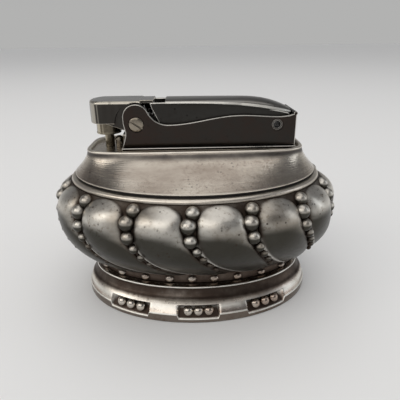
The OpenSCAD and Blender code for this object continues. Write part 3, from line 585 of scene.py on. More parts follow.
# Each bead down a gutter: share of the way down, sideways shift, share of the largest radius
beadSize = {
    "radius": 2.1,
    "places": [
        (0.065, 0.0, 0.9),
        (0.17, -0.07, 1.0),
        (0.305, -0.04, 0.87),
        (0.41, 0.06, 0.6),
        (0.505, 0.16, 0.52),
        (0.6, 0.275, 0.46),
        (0.69, 0.385, 0.38),
    ],
}


# Half width at a height: full at the belly, drawn in above it and below it
def crestWidth(size, z, half, bottom, lowZ, curve):
    bellyZ, topZ, upperCurve = pick(size, "bellyZ topZ upperCurve")
    above = calc("MAXIMUM", (z - bellyZ) / (topZ - bellyZ), 0.0)
    below = calc("MAXIMUM", (bellyZ - z) / (bellyZ - lowZ), 0.0)
    return half - size["shoulder"] * above ** upperCurve - (half - bottom) * below ** curve


# A point of the bowl, in numbers or in the tree: share of the way down, turn in lobes, how far inwards
def bowlPoint(size, w, turn, inward):
    t = evenAngle(size["length"], size["depth"], 2 * pi * (turn + size["phase"]) / size["lobes"])
    sine = calc("SINE", t)
    halves = []
    low = size["lowZ"]
    for keys in ("length neckLength endCurve", "depth neckDepth frontCurve"):
        wide, neck, curve = pick(size, keys)
        z = mix(size["topZ"], low, w)
        halves.append(crestWidth(size, z, wide / 2, neck / 2 + size["neckGap"], low, curve))
        low = low + size["lift"]
    z = mix(size["topZ"], size["lowZ"] + size["lift"] * sine * sine, w)
    return (halves[0] - inward) * calc("COSINE", t), (halves[1] - inward) * sine, z


def gutterDepth(size, w):
    depth = size["gutter"]
    for start, span, before, after in gutterSteps:
        depth = depth * mix(before, after, clamp((w - start) / span))
    return depth


def makeBowlTree():
    tree, size = newGeometryTree("swirledBowl", bowlSize)
    counts = {"Vertices X": size["columns"] * size["lobes"] + 1.0, "Vertices Y": size["rows"]}
    surface = addValue(tree, "GeometryNodeMeshGrid", "Mesh", {"Size X": 1.0, "Size Y": 1.0, **counts})
    around, down, _ = splitUp(addValue(tree, "GeometryNodeInputPosition"))
    around = around + 0.5
    down = down + 0.5
    # The outer face takes most rows, then the inner wall runs back up and the last row closes on the first
    outerShare = 0.88
    innerShare = 0.99
    rowCurve = 1.35
    last = calc("GREATER_THAN", down, 0.9999)
    inner = calc("GREATER_THAN", down, outerShare + 0.0001) - last
    outerDown = calc("MINIMUM", down / outerShare, 1.0) ** rowCurve
    w = calc("MAXIMUM", outerDown - clamp((down - outerShare) / (innerShare - outerShare)), 0.0)
    # Edges of the lobe at this row, in shares of its cell
    left, right = (
        calc("MAXIMUM", (w - start) / span, 0.0) ** bend * reach + first
        for start, span, bend, reach, first in lobeEdges
    )
    lobeWidth = right - left
    # Columns crowd at both edges of each lobe
    lobeColumns = 0.7
    cell = around * size["lobes"]
    index = calc("FLOOR", cell + 0.0001)
    share = calc("MAXIMUM", cell - index, 0.0)
    lobeTurn = calc("MINIMUM", share / lobeColumns, 1.0) * pi
    gutterTurn = calc("MAXIMUM", (share - lobeColumns) / (1 - lobeColumns), 0.0) * pi
    acrossLobe = (1.0 - calc("COSINE", lobeTurn)) * lobeWidth * 0.5
    across = acrossLobe + (1.0 - calc("COSINE", gutterTurn)) * (1.0 - lobeWidth) * 0.5
    # How far in from the crest: none on a lobe's crown, the gutter's depth between the lobes
    roundedEnd = 0.13
    eggEnd = 1.0 - calc("MINIMUM", w / roundedEnd, 1.0)
    bulge = calc("SINE", lobeTurn)
    height = calc("SQRT", calc("MAXIMUM", bulge * bulge - eggEnd * eggEnd, 0.0))
    inward = gutterDepth(size, w) * (1.0 - height)
    # A thin ridge runs down each lobe's left edge and along under it
    fromEdge = calc("MINIMUM", across, 1.0 - across) / size["ridgeWidth"]
    ridge = calc("EXPONENT", fromEdge * fromEdge * -1.0) * clamp((w - 0.3) / 0.15)
    inward = (inward - ridge * size["ridge"]) * (1.0 - inner) + (size["gutter"] + size["wall"]) * inner
    x, y, z = bowlPoint(size, w, index + left + across, inward)
    place = addValue(tree, "ShaderNodeCombineXYZ", 0, {"X": x * mm, "Y": y * mm, "Z": z * mm})
    # The marks are kept before the points move, because they read the flat grid
    # The gutter mark darkens them with tarnish and painted shade; the ridge mark is a painted glint line
    # along the ridge
    for key, value in (("hollow", (1.0 - height) ** 1.8), ("wornGlint", ridge)):
        inputs = {"Name": key, "Geometry": surface, "Value": value}
        surface = addValue(
            tree, "GeometryNodeStoreNamedAttribute", 0, inputs, data_type="FLOAT", domain="POINT",
        )
    moved = addValue(tree, "GeometryNodeSetPosition", 0, {"Geometry": surface, "Position": place})
    endGeometryTree(tree, moved, size["Material"])
    return tree


# Balls on points: each point carries its size and its turn
def makeBallTree():
    tree, size = newGeometryTree("ballsOnPoints", {"Roundness": 4})
    ball = {"Radius": 1.0, "Subdivisions": size["Roundness"]}
    ball = addValue(tree, "GeometryNodeMeshIcoSphere", "Mesh", ball)
    inputs = {"Points": size["Geometry"], "Instance": ball}
    for key, name in (("Scale", "size"), ("Rotation", "turn")):
        inputs[key] = addValue(
            tree, "GeometryNodeInputNamedAttribute", "Attribute", {"Name": name}, data_type="FLOAT_VECTOR",
        )
    inputs["Rotation"] = addValue(tree, "FunctionNodeEulerToRotation", 0, {0: inputs["Rotation"]})
    endGeometryTree(tree, addValue(tree, "GeometryNodeInstanceOnPoints", 0, inputs), size["Material"])
    return tree


ballTree = makeBallTree()


# Each ball is its place, its three half widths, its turn and how much painted shade darkens it
def makeBalls(name, balls, material):
    obj = newPiece(name, [Vector(ball[0]) * mm for ball in balls], [])
    sizes = obj.data.attributes.new("size", "FLOAT_VECTOR", "POINT")
    turns = obj.data.attributes.new("turn", "FLOAT_VECTOR", "POINT")
    for i, ball in enumerate(balls):
        sizes.data[i].vector = Vector(ball[1]) * mm
        turns.data[i].vector = (0, 0, ball[2])
    mark(obj, "hollow", [ball[3] for ball in balls])
    runTree(obj, ballTree, {"Roundness": 4}, material)
    finishPiece(obj, "body", "silver_plate")


def makeBowl():
    shell = newPiece("bowlShell", [(0, 0, 0)], [])
    runTree(shell, makeBowlTree(), bowlSize, bodySilver)
    reshape(shell, 2e-6)
    smoothByAngle(shell, 60.0)
    finishPiece(shell, "body", "silver_plate", "bowl")
    balls = []
    for row in range(bowlSize["lobes"]):
        for down, shift, share in beadSize["places"]:
            r = beadSize["radius"] * share
            inward = max(r * 1.05, gutterDepth(bowlSize, down) - r * 0.45)
            place = bowlPoint(bowlSize, down, row + shift, inward)
            # Painted shade: the lower beads darken towards the bottom of the bowl
            balls.append((place, (r, r, r), 0, 0.75 * clamp((down - 0.3) / 0.35)))
    makeBalls("bowlBeads", balls, bodySilver)
    print("bowl: faces", len(shell.data.polygons), "beads", len(balls))


makeBowl()


# Collar, in millimetres

collarSize = {
    "coveLength": 71.8,
    "coveDepth": 50.2,
    "rimLength": 62.0,
    "rimDepth": 23.6,
    "rimZ": 47.8,
    "coveZ": 40.4,
    "rimSquare": 4.6,
    "rimWidth": 1.0,
    "lowZ": 37.62,
    "ringHeight": 1.8,
    "ringOut": 1.3,
    "grooveIn": 0.7,
    "coveCurve": 1.5,
    "ledgeIn": 0.9,
    "deckZ": 46.9,
    "deckThickness": 1.2,
    "wall": 1.4,
    "around": 336,
    "rimRound": 0.4,
    "coveSteps": 40,
    "rimSteps": 12,
    "ringSteps": 14,
}


# A closed shell of ovals; each ring's mark above zero is tarnish with painted shade, below zero wear with a
# painted glint
def ovalShell(name, rings, marks, around, material):
    vertices = [ovalPoint(ring, 2 * pi * j / around) for ring in rings for j in range(around)]
    obj = newPiece(name, vertices, netFaces(len(rings), around, True), (), material)
    for key, sign in (("hollow", 1), ("wornGlint", -1)):
        mark(obj, key, [max(0.0, sign * level) for level in marks for j in range(around)])
    reshape(obj)
    return obj


def makeCollar():
    size = collarSize
    rings = []
    marks = []

    def addRing(oval, out, z, square, level):
        rings.append((oval[0] + out, oval[1] + out, z, square))
        marks.append(level)

    def addCove(s, out, level):
        g = s ** size["coveCurve"]
        square = 1 / mix(1 / size["rimSquare"], 0.5, s)
        oval = (mix(rim[0], cove[0], g), mix(rim[1], cove[1], g))
        addRing(oval, out, mix(rimZ, coveZ, s), square, level)

    cove = (size["coveLength"] / 2, size["coveDepth"] / 2)
    rim = (size["rimLength"] / 2, size["rimDepth"] / 2)
    coveZ, rimRound, rimWidth, low, ringOut = pick(size, "coveZ rimRound rimWidth lowZ ringOut")
    rimZ = size["rimZ"] - rimRound
    ringR = size["ringHeight"] / 2
    ringZ = low + ringR
    addRing(cove, ringOut - ringR * 1.7, low, 2, 1)
    for i in range(size["ringSteps"] + 1):
        t = pi * (i / size["ringSteps"] - 0.5)
        sine = sin(t)
        # Painted shade under the ring and a painted glint along its top
        level = clamp(-1.4 * sine - 0.5) - 0.6 * clamp(sine + 0.2)
        addRing(cove, ringOut - ringR + ringR * cos(t), ringZ + ringR * sine, 2, level)
    # Painted shade and tarnish down the groove, then a painted glint line at the cove's foot
    addRing(cove, -size["grooveIn"], ringZ + ringR, 2, 1.4)
    addRing(cove, -size["grooveIn"], coveZ - 0.25, 2, 1.4)
    addRing(cove, -0.1, coveZ - 0.25, 2, 0.8)
    addRing(cove, -0.02, coveZ - 0.16, 2, -0.9)
    # Painted shade in a strip just under the rim, and painted glint lines at the cove's two ends
    for i in range(size["coveSteps"] + 1):
        s = 1 - i / size["coveSteps"]
        addCove(s, 0, 0.9 * clamp((0.34 - s) / 0.2) * clamp(s / 0.06) - 0.9 * (s > 0.98) - 0.8 * (s < 0.02))
    # The rim's roll: wear with a painted glint
    for i in range(1, size["rimSteps"] + 1):
        t = pi * i / size["rimSteps"]
        addRing(rim, rimWidth / 2 * (cos(t) - 1), rimZ + rimRound * sin(t), size["rimSquare"], -0.85)
    # Painted shade and tarnish inside the rim: the ledge, the inner wall and the inner foot
    ledgeZ = size["deckZ"] - size["deckThickness"]
    ledge = -rimWidth - size["ledgeIn"]
    for out, z in ((-rimWidth, ledgeZ), (ledge, ledgeZ), (ledge, ledgeZ - 1.2)):
        addRing(rim, out, z, size["rimSquare"], 1)
    addCove(0.6, -size["wall"] - 1, 1)
    addRing(cove, -ringOut - 1.4, low, 2, 1)
    obj = ovalShell("collarShell", rings, marks, size["around"], collarSilver)
    smoothByAngle(obj, 32.0)
    finishPiece(obj, "body", "silver_plate", "collar")
    print("collar: faces", len(obj.data.polygons))


makeCollar()


# Foot, in millimetres

footSize = {
    "length": 72.0,
    "depth": 48.0,
    "lowZ": 0.2,
    "rimZ": 2.9,
    "lineZ": 8.6,
    "neckTopZ": 13.0,
    "neckLength": 62.8,
    "neckDepth": 33.2,
    "studs": 21,
    "panelLength": 12.0,
    "panelStep": 21.4,
    "panelZ": 1.5,
    "panelIn": 3.1,
    "panelTilt": 38.0,
    "panelRows": 12,
    "panelBead": 1.48,
    "around": 320,
    "beadStep": 3.25,
    "beadIn": 1.5,
    "beadUp": 0.42,
}


# A point given along the foot's edge, as in the CAD
def footEdge(s, side, inward):
    a = footSize["length"] / 2
    b = footSize["depth"] / 2
    t = evenAngle(a, b, side * pi / 2 + s / (a + b) * 2)
    return (a - inward) * cos(t), (b - inward) * sin(t)


def makeFoot():
    size = footSize
    a, b, neckA, neckB = (half / 2 for half in pick(size, "length depth neckLength neckDepth"))
    rim, line, low, panelRows = pick(size, "rimZ lineZ panelZ panelRows")
    # Inward at the ends, inward at the front, height: the plain rim, and the same points where a panel is cut
    plain = [(0.1, 0.05, size["lowZ"]), (0.0, 0.0, 0.5), (0.0, 0.0, low - 0.3), (0.0, 0.0, rim - 0.34)]
    panel = plain[:2] + [(0.0, 0.0, low - 0.5), (0.0, 0.0, low - 0.34)]
    for x, z in ((0.03, -0.2), (0.12, -0.07), (0.26, 0.0)):
        plain.append((x, x * 1.1, rim + z))
        panel.append((x, x, low + z))
    slope = [(0.26, 0.3, rim + 0.03), (0.5, 1.15, rim + 1.0), (0.72, 1.95, rim + 1.75)]
    slope += [(0.95, 2.75, rim + 2.35), (1.3, 3.45, rim + 2.85), (2.0, 4.25, rim + 3.5)]
    slope += [(2.7, 4.95, line - 1.1), (3.0, 5.3, line - 0.4)]
    curve = smoothThrough(slope, 6)[1:]
    plain += curve
    # The panel's floor climbs inwards at its tilt and ends at a steep back wall
    lip = len(panel)
    edge = panel[-1][0]
    for i in range(1, panelRows + 1):
        deep = mix(edge, size["panelIn"], i / panelRows)
        panel.append((deep, deep, low + (deep - edge) * tan(radians(size["panelTilt"]))))
    panel += curve[panelRows:]
    top = [(2.86, 5.14, line - 0.28), (2.78, 5.05, line - 0.1), (2.8, 5.07, line + 0.1)]
    top += [(2.92, 5.2, line + 0.24), (3.2, 5.5, line + 0.35)]
    high = size["neckTopZ"]
    for wall, z in ((-0.1, line + 0.5), (0, line + 0.8), (0, high), (1.4, high), (1.4, line)):
        top.append((a - neckA + wall, b - neckB + wall, z))
    seat = 2.02
    for inward, z in ((2.6, seat + 0.8), (2.6, seat), (1.55, seat), (1.55, size["lowZ"])):
        top.append((inward, inward, z))
    plain += top
    panel += top
    # Columns: even steps, and close ones at each panel's two ends
    half = pi * (a + b) / 2
    stops = [(half * i / (size["around"] / 2), 0.0) for i in range(size["around"] // 2)]
    for k in (-1, 0, 1):
        middle = half / 2 + k * size["panelStep"]
        long = size["panelLength"] / 2
        stops = [stop for stop in stops if abs(stop[0] - middle) > long + 0.7]
        for step, share in ((0.62, 0.0), (0.5, 0.05), (0.1, 0.95), (-0.02, 1.0)):
            stops += [(middle - long - step, share), (middle + long + step, share)]
        inside = int(size["panelLength"] * 1.6)
        stops += [(middle - long + 0.2 + (2 * long - 0.4) * i / inside, 1.0) for i in range(inside + 1)]
    stops.sort()
    columns = [(side * half + s, share) for side in (-1, 0) for s, share in stops]
    vertices = []
    for s, share in columns:
        t = evenAngle(a, b, s / (a + b) * 2)
        for p, q in zip(plain, panel):
            x, y, z = (mix(u, v, share) for u, v in zip(p, q))
            vertices.append(((a - x) * cos(t) * mm, (b - y) * sin(t) * mm, z * mm))
    n = len(plain)
    # Painted glint lines along the rim's top edge and the line at the neck's foot
    rubbedGlintLines = (3, 4, 5, len(curve) + 8, len(curve) + 9)
    wornGlint = [j * n + i for j in range(len(columns)) for i in rubbedGlintLines]
    obj = newPiece("footShell", vertices, netFaces(len(columns), n, True), wornGlint, footSilver)
    # Painted shade in the concave strip between the slope and the line
    hollows = [clamp((z - rim - 1.9) / 1.1) * clamp((line - 0.1 - z) / 0.4) for x, y, z in plain]
    # The neck's wall behind the studs, under the bowl, takes painted shade too
    for i in range(n - len(top) + 5, n):
        hollows[i] = 0.85
    # Painted shade on the panels' floors
    floor = range(lip, lip + panelRows)
    mark(obj, "hollow", [hollows[i] + 1.1 * share * (i in floor) for s, share in columns for i in range(n)])
    reshape(obj)
    markWornGlint(obj, footSilver)
    # The shoulder of the slope, where it faces upwards, takes a painted highlight through the mark of wear
    levels = obj.data.attributes["wornGlint"].data
    for face in obj.data.polygons:
        level = clamp(1 - abs(face.center.z / mm - rim - 1.45) / 1.1) * (face.normal.z > 0.2)
        levels[face.index].value = max(levels[face.index].value, 0.95 * level)
    smoothByAngle(obj, 50.0)
    finishPiece(obj, "body", "silver_plate", "foot")
    balls = []
    r = size["panelBead"]
    for side in (-1, 1):
        for k in (-1, 0, 1):
            for i in (-1, 0, 1):
                x, y = footEdge(k * size["panelStep"] + i * size["beadStep"], side, size["beadIn"])
                balls.append(((x, y, rim + size["beadUp"]), (r, r, r), 0, 0.0))
    makeBalls("panelBeads", balls, beadSilver)
    balls = []
    for i in range(size["studs"]):
        t = evenAngle(neckA, neckB, 2 * pi * (i + 0.5) / size["studs"])
        gap = bowlSize["lowZ"] + bowlSize["lift"] * sin(t) ** 2 - line - 0.35
        turn = atan2(sin(t) / neckB, cos(t) / neckA)
        place = (neckA * cos(t), neckB * sin(t), line + 0.35 + gap * 0.42)
        # The studs under the bowl take painted shade
        balls.append((place, (1.0, 1.35, gap * 0.4), turn, 0.45))
    makeBalls("neckStuds", balls, beadSilver)
    print("foot: faces", len(obj.data.polygons))


makeFoot()


# Mechanism, in millimetres

mechanismSize = {
    "axle": (-16.25, 54.3),
    "axleRadius": 1.55,
    "rivet": (22.997, 53.8),
    "rivetRadius": 1.5,
    "floorZ": (46.92, 47.9),
    "half": 6.6,
    "inner": 5.5,
    "flange": 7.6,
    "left": -20.7,
    "right": 28.397,
    "earRadius": 3.7,
    "earZ": 56.15,
    "dipRadius": 6.1,
    "dipZ": 54.15,
    "hump": (13.0, 56.5),
    "tailDip": (24.0, 56.0),
    "lipZ": 56.7,
    "counterbore": (2.17, 0.55),
    "springX": 9.0,
    "edge": 0.24,
}


# Half a cosine wave from one point to another
def wave(x, start, end):
    return mix(start[1], end[1], (1 - cos(pi * (x - start[0]) / (end[0] - start[0]))) / 2)


def arc(x, z, radius, first, last, steps):
    turns = [mix(first, last, i / steps) for i in range(steps + 1)]
    return [(x + radius * cos(t), z + radius * sin(t)) for t in turns]


# The ear around the axle, the dip behind it, and the two waves towards the lip
def sideOutline():
    size = mechanismSize
    left, right, earZ, earR, dipR = pick(size, "left right earZ earRadius dipRadius")
    hump, tail, lip = pick(size, "hump tailDip lipZ")
    axleX = size["axle"][0]
    low = size["floorZ"][0] + 0.48
    dipZ = size["dipZ"] + dipR
    dip = (axleX + sqrt((earR + dipR) ** 2 - (dipZ - earZ) ** 2), size["dipZ"])
    turn = atan2(dipZ - earZ, dip[0] - axleX)
    points = [(left, low), (left + 0.75, 49.6), (left + 1.25, 51.4), (left + 1.3, 52.1), (left + 1.05, 53.2)]
    points.append((left + 0.8, 54.6))
    points += arc(axleX, earZ, earR, pi, turn, 30)
    points += arc(dip[0], dipZ, dipR, pi + turn, pi * 1.5, 22)[1:]
    for start, end in ((dip, hump), (hump, tail)):
        steps = int(end[0] - start[0])
        stops = [mix(start[0], end[0], i / steps) for i in range(1, steps + 1)]
        points += [(x, wave(x, start, end)) for x in stops]
    return points + [(right - 2.2, tail[1] + 0.2), (right - 0.5, lip), (right, lip), (right, low)]


def makeFrame():
    size = mechanismSize
    half, inner, axle, rivet, flange, right = pick(size, "half inner axle rivet flange right")
    axleR, rivetR, edge = pick(size, "axleRadius rivetRadius edge")
    outline = sideOutline()
    boreR, boreDepth = size["counterbore"]
    frontHoles = [
        rod(*axle, boreR, -half - 1, -half + boreDepth),
        rod(*axle, axleR, -half - 1, -half + 3),
        rod(*rivet, rivetR + 0.4, -half - 1, -half + 0.15),
        rod(*rivet, rivetR, -half - 1, -half + 3),
    ]
    backHoles = [
        rod(*axle, axleR - 0.3, half - 3, half + 1),
        rod(*rivet, rivetR + 0.4, half - 0.15, half + 1),
        rod(*rivet, rivetR, half - 3, half + 1),
    ]
    low, high = size["floorZ"]
    forms = [
        (prism(outline, -half, -inner), edge, frontHoles),
        (prism(outline, inner, half), edge, backHoles),
        (block((size["left"], -flange, low), (right, flange, high)), 0.25),
        (block((right - 0.8, -half + 0.3, low + 0.4), (right, half - 0.3, size["lipZ"])), 0.2),
        (rod(right - 0.35, size["lipZ"], 0.55, -half, half, 32), 0.15),
        (post(size["springX"], 1.7, high - 0.2, high + 2.2), 0.2),
    ]
    assemble("mechanismFrame", forms, mechanismPlate, "mechanism_plate", "body", "frame")


gearSize = {
    "module": 0.5,
    "pinionTeeth": 19,
    "sectorTeeth": 138,
    "addendum": 0.45,
    "dedendum": 0.6,
    "backlash": 0.07,
    "flank": 0.4,
    "front": -4.3,
    "back": -2.0,
}


def meshAngle():
    axle = mechanismSize["axle"]
    rivet = mechanismSize["rivet"]
    return atan2(rivet[1] - axle[1], rivet[0] - axle[0])


# One tooth: from its root to its tip and back
def tooth(center, radius, t):
    size = gearSize
    root = radius - size["dedendum"]
    tip = radius + size["addendum"]
    half = pi * size["module"] / 4 - size["backlash"]
    wide = (half + size["dedendum"] * size["flank"]) / root
    narrow = (half - size["addendum"] * size["flank"]) / tip
    turns = ((root, t - wide), (tip, t - narrow), (tip, t + narrow), (root, t + wide))
    return [(center[0] + r * cos(a), center[1] + r * sin(a)) for r, a in turns]


armSize = {
    "end": -29.8,
    "half": 6.2,
    "wall": 0.9,
    "round": 4.0,
    "low": 54.5,
    "top": 60.65,
    "wideEnd": -14.65,
    "tongueEnd": -11.35,
    "tongueHalf": 4.2,
    "relief": 6.0,
    "cheek": (4.4, 5.3),
    "hub": 3.2,
    "wickX": -25.2,
    "bridgeZ": 57.0,
    "crown": 0.75,
    "boss": (2.3, 2.8),
}


# Plan of the arm: a half-oval left end and straight sides
def armPlan(inward, right):
    size = armSize
    points = []
    for i in range(33):
        t = pi * (0.5 + i / 32)
        x = size["end"] + size["round"] + (size["round"] - inward) * cos(t)
        points.append((x, (size["half"] - inward) * sin(t)))
    return points + [(right, -(size["half"] - inward)), (right, size["half"] - inward)]


def makeArm():
    size = armSize
    axle = mechanismSize["axle"]
    low, top, wall, half, wideEnd = pick(size, "low top wall half wideEnd")
    tongue, bridge, wickX, hub = pick(size, "tongueHalf bridgeZ wickX hub")
    under = top - wall
    near, far = size["cheek"]
    bossR, bossY = size["boss"]
    holes = [
        prism(armPlan(wall, wideEnd + 1), low - 1, under, True),
        rod(*axle, size["relief"], -half - 0.01, -far, 96),
        rod(*axle, size["relief"], far, half + 0.01, 96),
    ]
    bore = [rod(*axle, mechanismSize["axleRadius"], -half, half, 32)]
    cheek = [(wickX, low), (axle[0] - 2.3, axle[1] - 2.2), (axle[0] + 1.5, axle[1] + 2.6)]
    cheek += [(axle[0] - 1.5, under), (wickX, under)]
    gear = gearSize
    pinion = []
    for i in range(gear["pinionTeeth"]):
        t = meshAngle() + 2 * pi * (i + 0.5) / gear["pinionTeeth"]
        pinion += tooth(axle, gear["module"] * gear["pinionTeeth"] / 2, t)
    forms = [
        (prism(armPlan(0, wideEnd), low, top, True), 0.16, holes, size["crown"]),
        (block((wideEnd - 0.9, -tongue, under), (size["tongueEnd"], tongue, top)), 0.2),
        (prism(cheek, near, far), 0.1, bore),
        (prism(cheek, -far, -near), 0.1, bore),
        (rod(*axle, hub, near, far), 0.1, bore),
        (rod(*axle, hub, -far, gear["front"] + 0.1), 0.1, bore),
        (rod(*axle, bossR, bossY, far), 0.1, bore),
        (prism(pinion, gear["front"], gear["back"]), 0, bore),
        (
            block((wickX - 2.0, -half + 0.85, bridge), (wickX + 3, half - 0.85, bridge + 0.8)),
            0.1, [post(wickX, 0.85, bridge - 1, bridge + 2)],
        ),
    ]
    assemble("snufferArm", forms, armPlate, "mechanism_plate", "arm", "snuffer_arm")


# The lever: a crowned cap that narrows and falls towards its right end
capSize = {
    "left": -8.0,
    "right": 27.3,
    "prong": -12.3,
    "half": 5.4,
    "top": 60.75,
    "crownHeight": 0.65,
    "crownFall": (12.0, 9.9, 1.05, 2.55),
    "edgeFall": (-12.3, 39.2, 3.1, 3.2),
    "sideFall": (19.0, 10.6, 1.0, 2.4),
    "thickness": 1.0,
    "stations": 70,
    "skirt": (4.4, 5.36),
}


# How far a line of the cap has fallen; each fall is its start, span, drop and curve
def fallen(x, fall):
    start, span, drop, curve = capSize[fall]
    return drop * max(0.0, (x - start) / span) ** curve


def crownZ(x):
    return capSize["top"] - fallen(x, "crownFall")


def edgeZ(x):
    return capSize["top"] - capSize["crownHeight"] - fallen(x, "edgeFall")


def capHalf(x):
    return capSize["half"] * sqrt(1 - fallen(x, "sideFall"))


# Across the cap: flat below, a rounded edge on each side with wear and a painted glint, and the crown between
# them
def capSection(x):
    y = capHalf(x)
    edge = edgeZ(x)
    crown = max(edge + 0.12, crownZ(x))
    low = edge - capSize["thickness"]
    right = [(y - 0.12, low), (y, low + 0.12), (y, edge - 0.34)]
    right += [(y - 0.04, edge - 0.18), (y - 0.14, edge - 0.06)]
    top = []
    for i in range(19):
        t = radians(8 + 164 * i / 18)
        top.append(((y - 0.26) * cos(t), edge + (crown - edge) * sin(t) ** 0.8))
    left = [(-p, q) for p, q in reversed(right)]
    return right + top + left


def makeLever():
    size = capSize
    rivet = mechanismSize["rivet"]
    axle = mechanismSize["axle"]
    left, prong, right, count = pick(size, "left prong right stations")
    stations = [mix(left, right, (i / count) ** 0.9) for i in range(count + 1)]
    cap, faces = loft([[(x, y, z) for y, z in capSection(x)] for x in stations])
    n = len(cap) // len(stations)
    # The strips along each edge take wear and a painted glint
    wornGlint = [2 + i * n + j for i in range(count) for j in (2, 3, 4, n - 6, n - 5, n - 4)]
    skirt = [(prong, edgeZ(prong) - 0.1), (prong + 0.4, 58.5), (prong + 2.6, 54.0), (prong + 3.8, 53.0)]
    skirt += [(10.0, 51.8), (rivet[0] - 1, rivet[1] - 3.2), (rivet[0] + 1, rivet[1] - 3.2)]
    skirt += [(right - 1, 51.8), (right - 0.4, 55.6)]
    skirt += [(x, edgeZ(x) - 0.4) for x in (right - 0.9, 25.6, 24.8, 23.6, 21.5, 16.0, 10.0, 4.0, left + 0.6)]
    skirt += [(left + 0.2, edgeZ(left) - 0.12), (left, edgeZ(left) - 0.04)]
    near, far = size["skirt"]
    bore = [rod(*rivet, mechanismSize["rivetRadius"], -7, 7, 48)]
    gear = gearSize
    sector = []
    for i in range(-3, 2):
        t = pi + meshAngle() + 2 * pi * i / gear["sectorTeeth"]
        sector += tooth(rivet, gear["module"] * gear["sectorTeeth"] / 2, t)
    shared = [(axle[0] + 8.8, axle[1]), (axle[0] + 7.4, axle[1] + 2.4)]
    sector += [(axle[0] + 8.8, axle[1] - 1.4)] + shared + [(axle[0] + 5.6, axle[1] + 4.7)]
    web = [(axle[0] + 5.4, axle[1] + 3.4), (axle[0] + 7, axle[1]), (axle[0] + 8.8, axle[1] - 1)] + shared
    web.append((axle[0] + 5.8, axle[1] + 4.2))
    forms = [
        ((cap, faces, wornGlint), 0),
        (prism(skirt, -far, -near), 0.24, bore),
        (prism(skirt, near, far), 0.24, bore),
        (prism(sector, gear["front"], gear["back"] - 0.1), 0),
        (prism(web, -far + 0.06, gear["front"] + 0.1), 0.05),
    ]
    assemble("thumbLever", forms, leverPlate, "worn_plate", "lever", "thumb_lever")


# The axle's screw: a domed head with a slot, and the axle behind it
screwSize = {
    "headY": -6.07,
    "dome": [(2.05, 0.0), (2.05, 0.42), (1.98, 0.54), (1.75, 0.66), (1.35, 0.76), (0.9, 0.82), (0.4, 0.85)],
    "slot": (0.29, 0.5),
    "slotTurn": 35.0,
    "inner": 5.48,
}


def makeScrew():
    size = screwSize
    x, z = mechanismSize["axle"]
    radius = mechanismSize["axleRadius"] - 0.05
    dome = loft([[(p, size["headY"] - out, q) for p, q in circle(x, z, r, 48)] for r, out in size["dome"]])
    turn = radians(size["slotTurn"])
    wide, deep = size["slot"]
    corners = []
    for p, q in ((-3, -wide), (3, -wide), (3, wide), (-3, wide)):
        across = p * cos(turn) + q * sin(turn)
        corners.append((x + across, z - p * sin(turn) + q * cos(turn)))
    front = size["headY"] - size["dome"][-1][1]
    forms = [
        (dome, 0, [prism(corners, front - 1, front + deep)]),
        (rod(x, z, radius, size["headY"] - 0.2, size["inner"], 32), 0),
        (rod(x, z, radius - 0.3, 0, mechanismSize["half"], 32), 0.1),
    ]
    assemble("axleScrew", forms, plainSteel, "mechanism_plate", "body", "axle_screw")


# A copy of a CAD node with its triangles joined and its edges rounded
def roundedCopy(node, name, width, material, slot, body):
    obj = copyNode(node, name)
    reshape(obj, 2e-6, True)
    obj.data.materials.append(None)
    roundEdges(obj, width, 2)
    bakeModifiers(obj)
    markWornGlint(obj, material)
    levelNormals(obj)
    finishPiece(obj, body, slot, node)


makeFrame()
makeArm()
makeLever()
makeScrew()
roundedNodes = [
    ("snuffer_cup", "snufferCup", 0.12, streakedGlintNickel, "mechanism_plate", "cup"),
    ("lever_rivet", "leverRivet", 0.08, mechanismPlate, "steel", "body"),
    ("wick_tube", "wickTube", 0.08, streakedGlintNickel, "steel", "body"),
    ("deck_plate", "deckPlate", 0.1, collarSilver, "worn_plate", "body"),
    ("spark_wheel", "sparkWheel", 0.04, cutWheel, "hard_steel", "wheel"),
]
for entry in roundedNodes:
    roundedCopy(*entry)
print("mechanism ready")


# A copy of a spring in plain steel, on its body; the share of its length that the travel would leave is
# worked out, but the spring is not shortened
def makeSpring(node, name, body, joint, travel, stays):
    spring = copyNode(node, name, plainSteel)
    levelNormals(spring)
    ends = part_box(node)
    keep = 1 - travel * mm / (ends[1][2] - ends[0][2])
    finishPiece(spring, body, "steel", node)
    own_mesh(spring)


springs = [
    ("lever_spring", "leverSpring", "body", "lever_press", 2.0, 0),
    ("flint_spring", "flintSpring", "body", "flint_feed", 1.55, 0),
    ("snuffer_spring", "snufferSpring", "arm", "cup_seat", 0.84, 1),
]
for entry in springs:
    makeSpring(*entry)
print("springs ready")

nodeMaterials = [
    (plainSteel, "base_plate base_screws tank tank_floor spark_guard frame_screws wheel_pawl snuffer_clip"),
    (turnedBrass, "filler_screw flint_tube flint_screw"),
    (whiteCotton, "cotton_packing wick"),
    (greenFelt, "felt_pad"),
    (oiledLeather, "filler_gasket"),
    (cutWheel, "flint"),
]
for material, nodes in nodeMaterials:
    for node in nodes.split():
        paint(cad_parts[node].data, material)
print("hidden pieces painted")


# Studio

# The photograph's camera, in millimetres and degrees, in the CAD model's frame
viewPoint = {
    "place": (-0.734, -113.148, 75.641),
    "yaw": 1.029,
    "pitch": 22.535,
    "roll": -0.79,
    "focalPixels": 384.168,
    "imagePixels": 400,
}

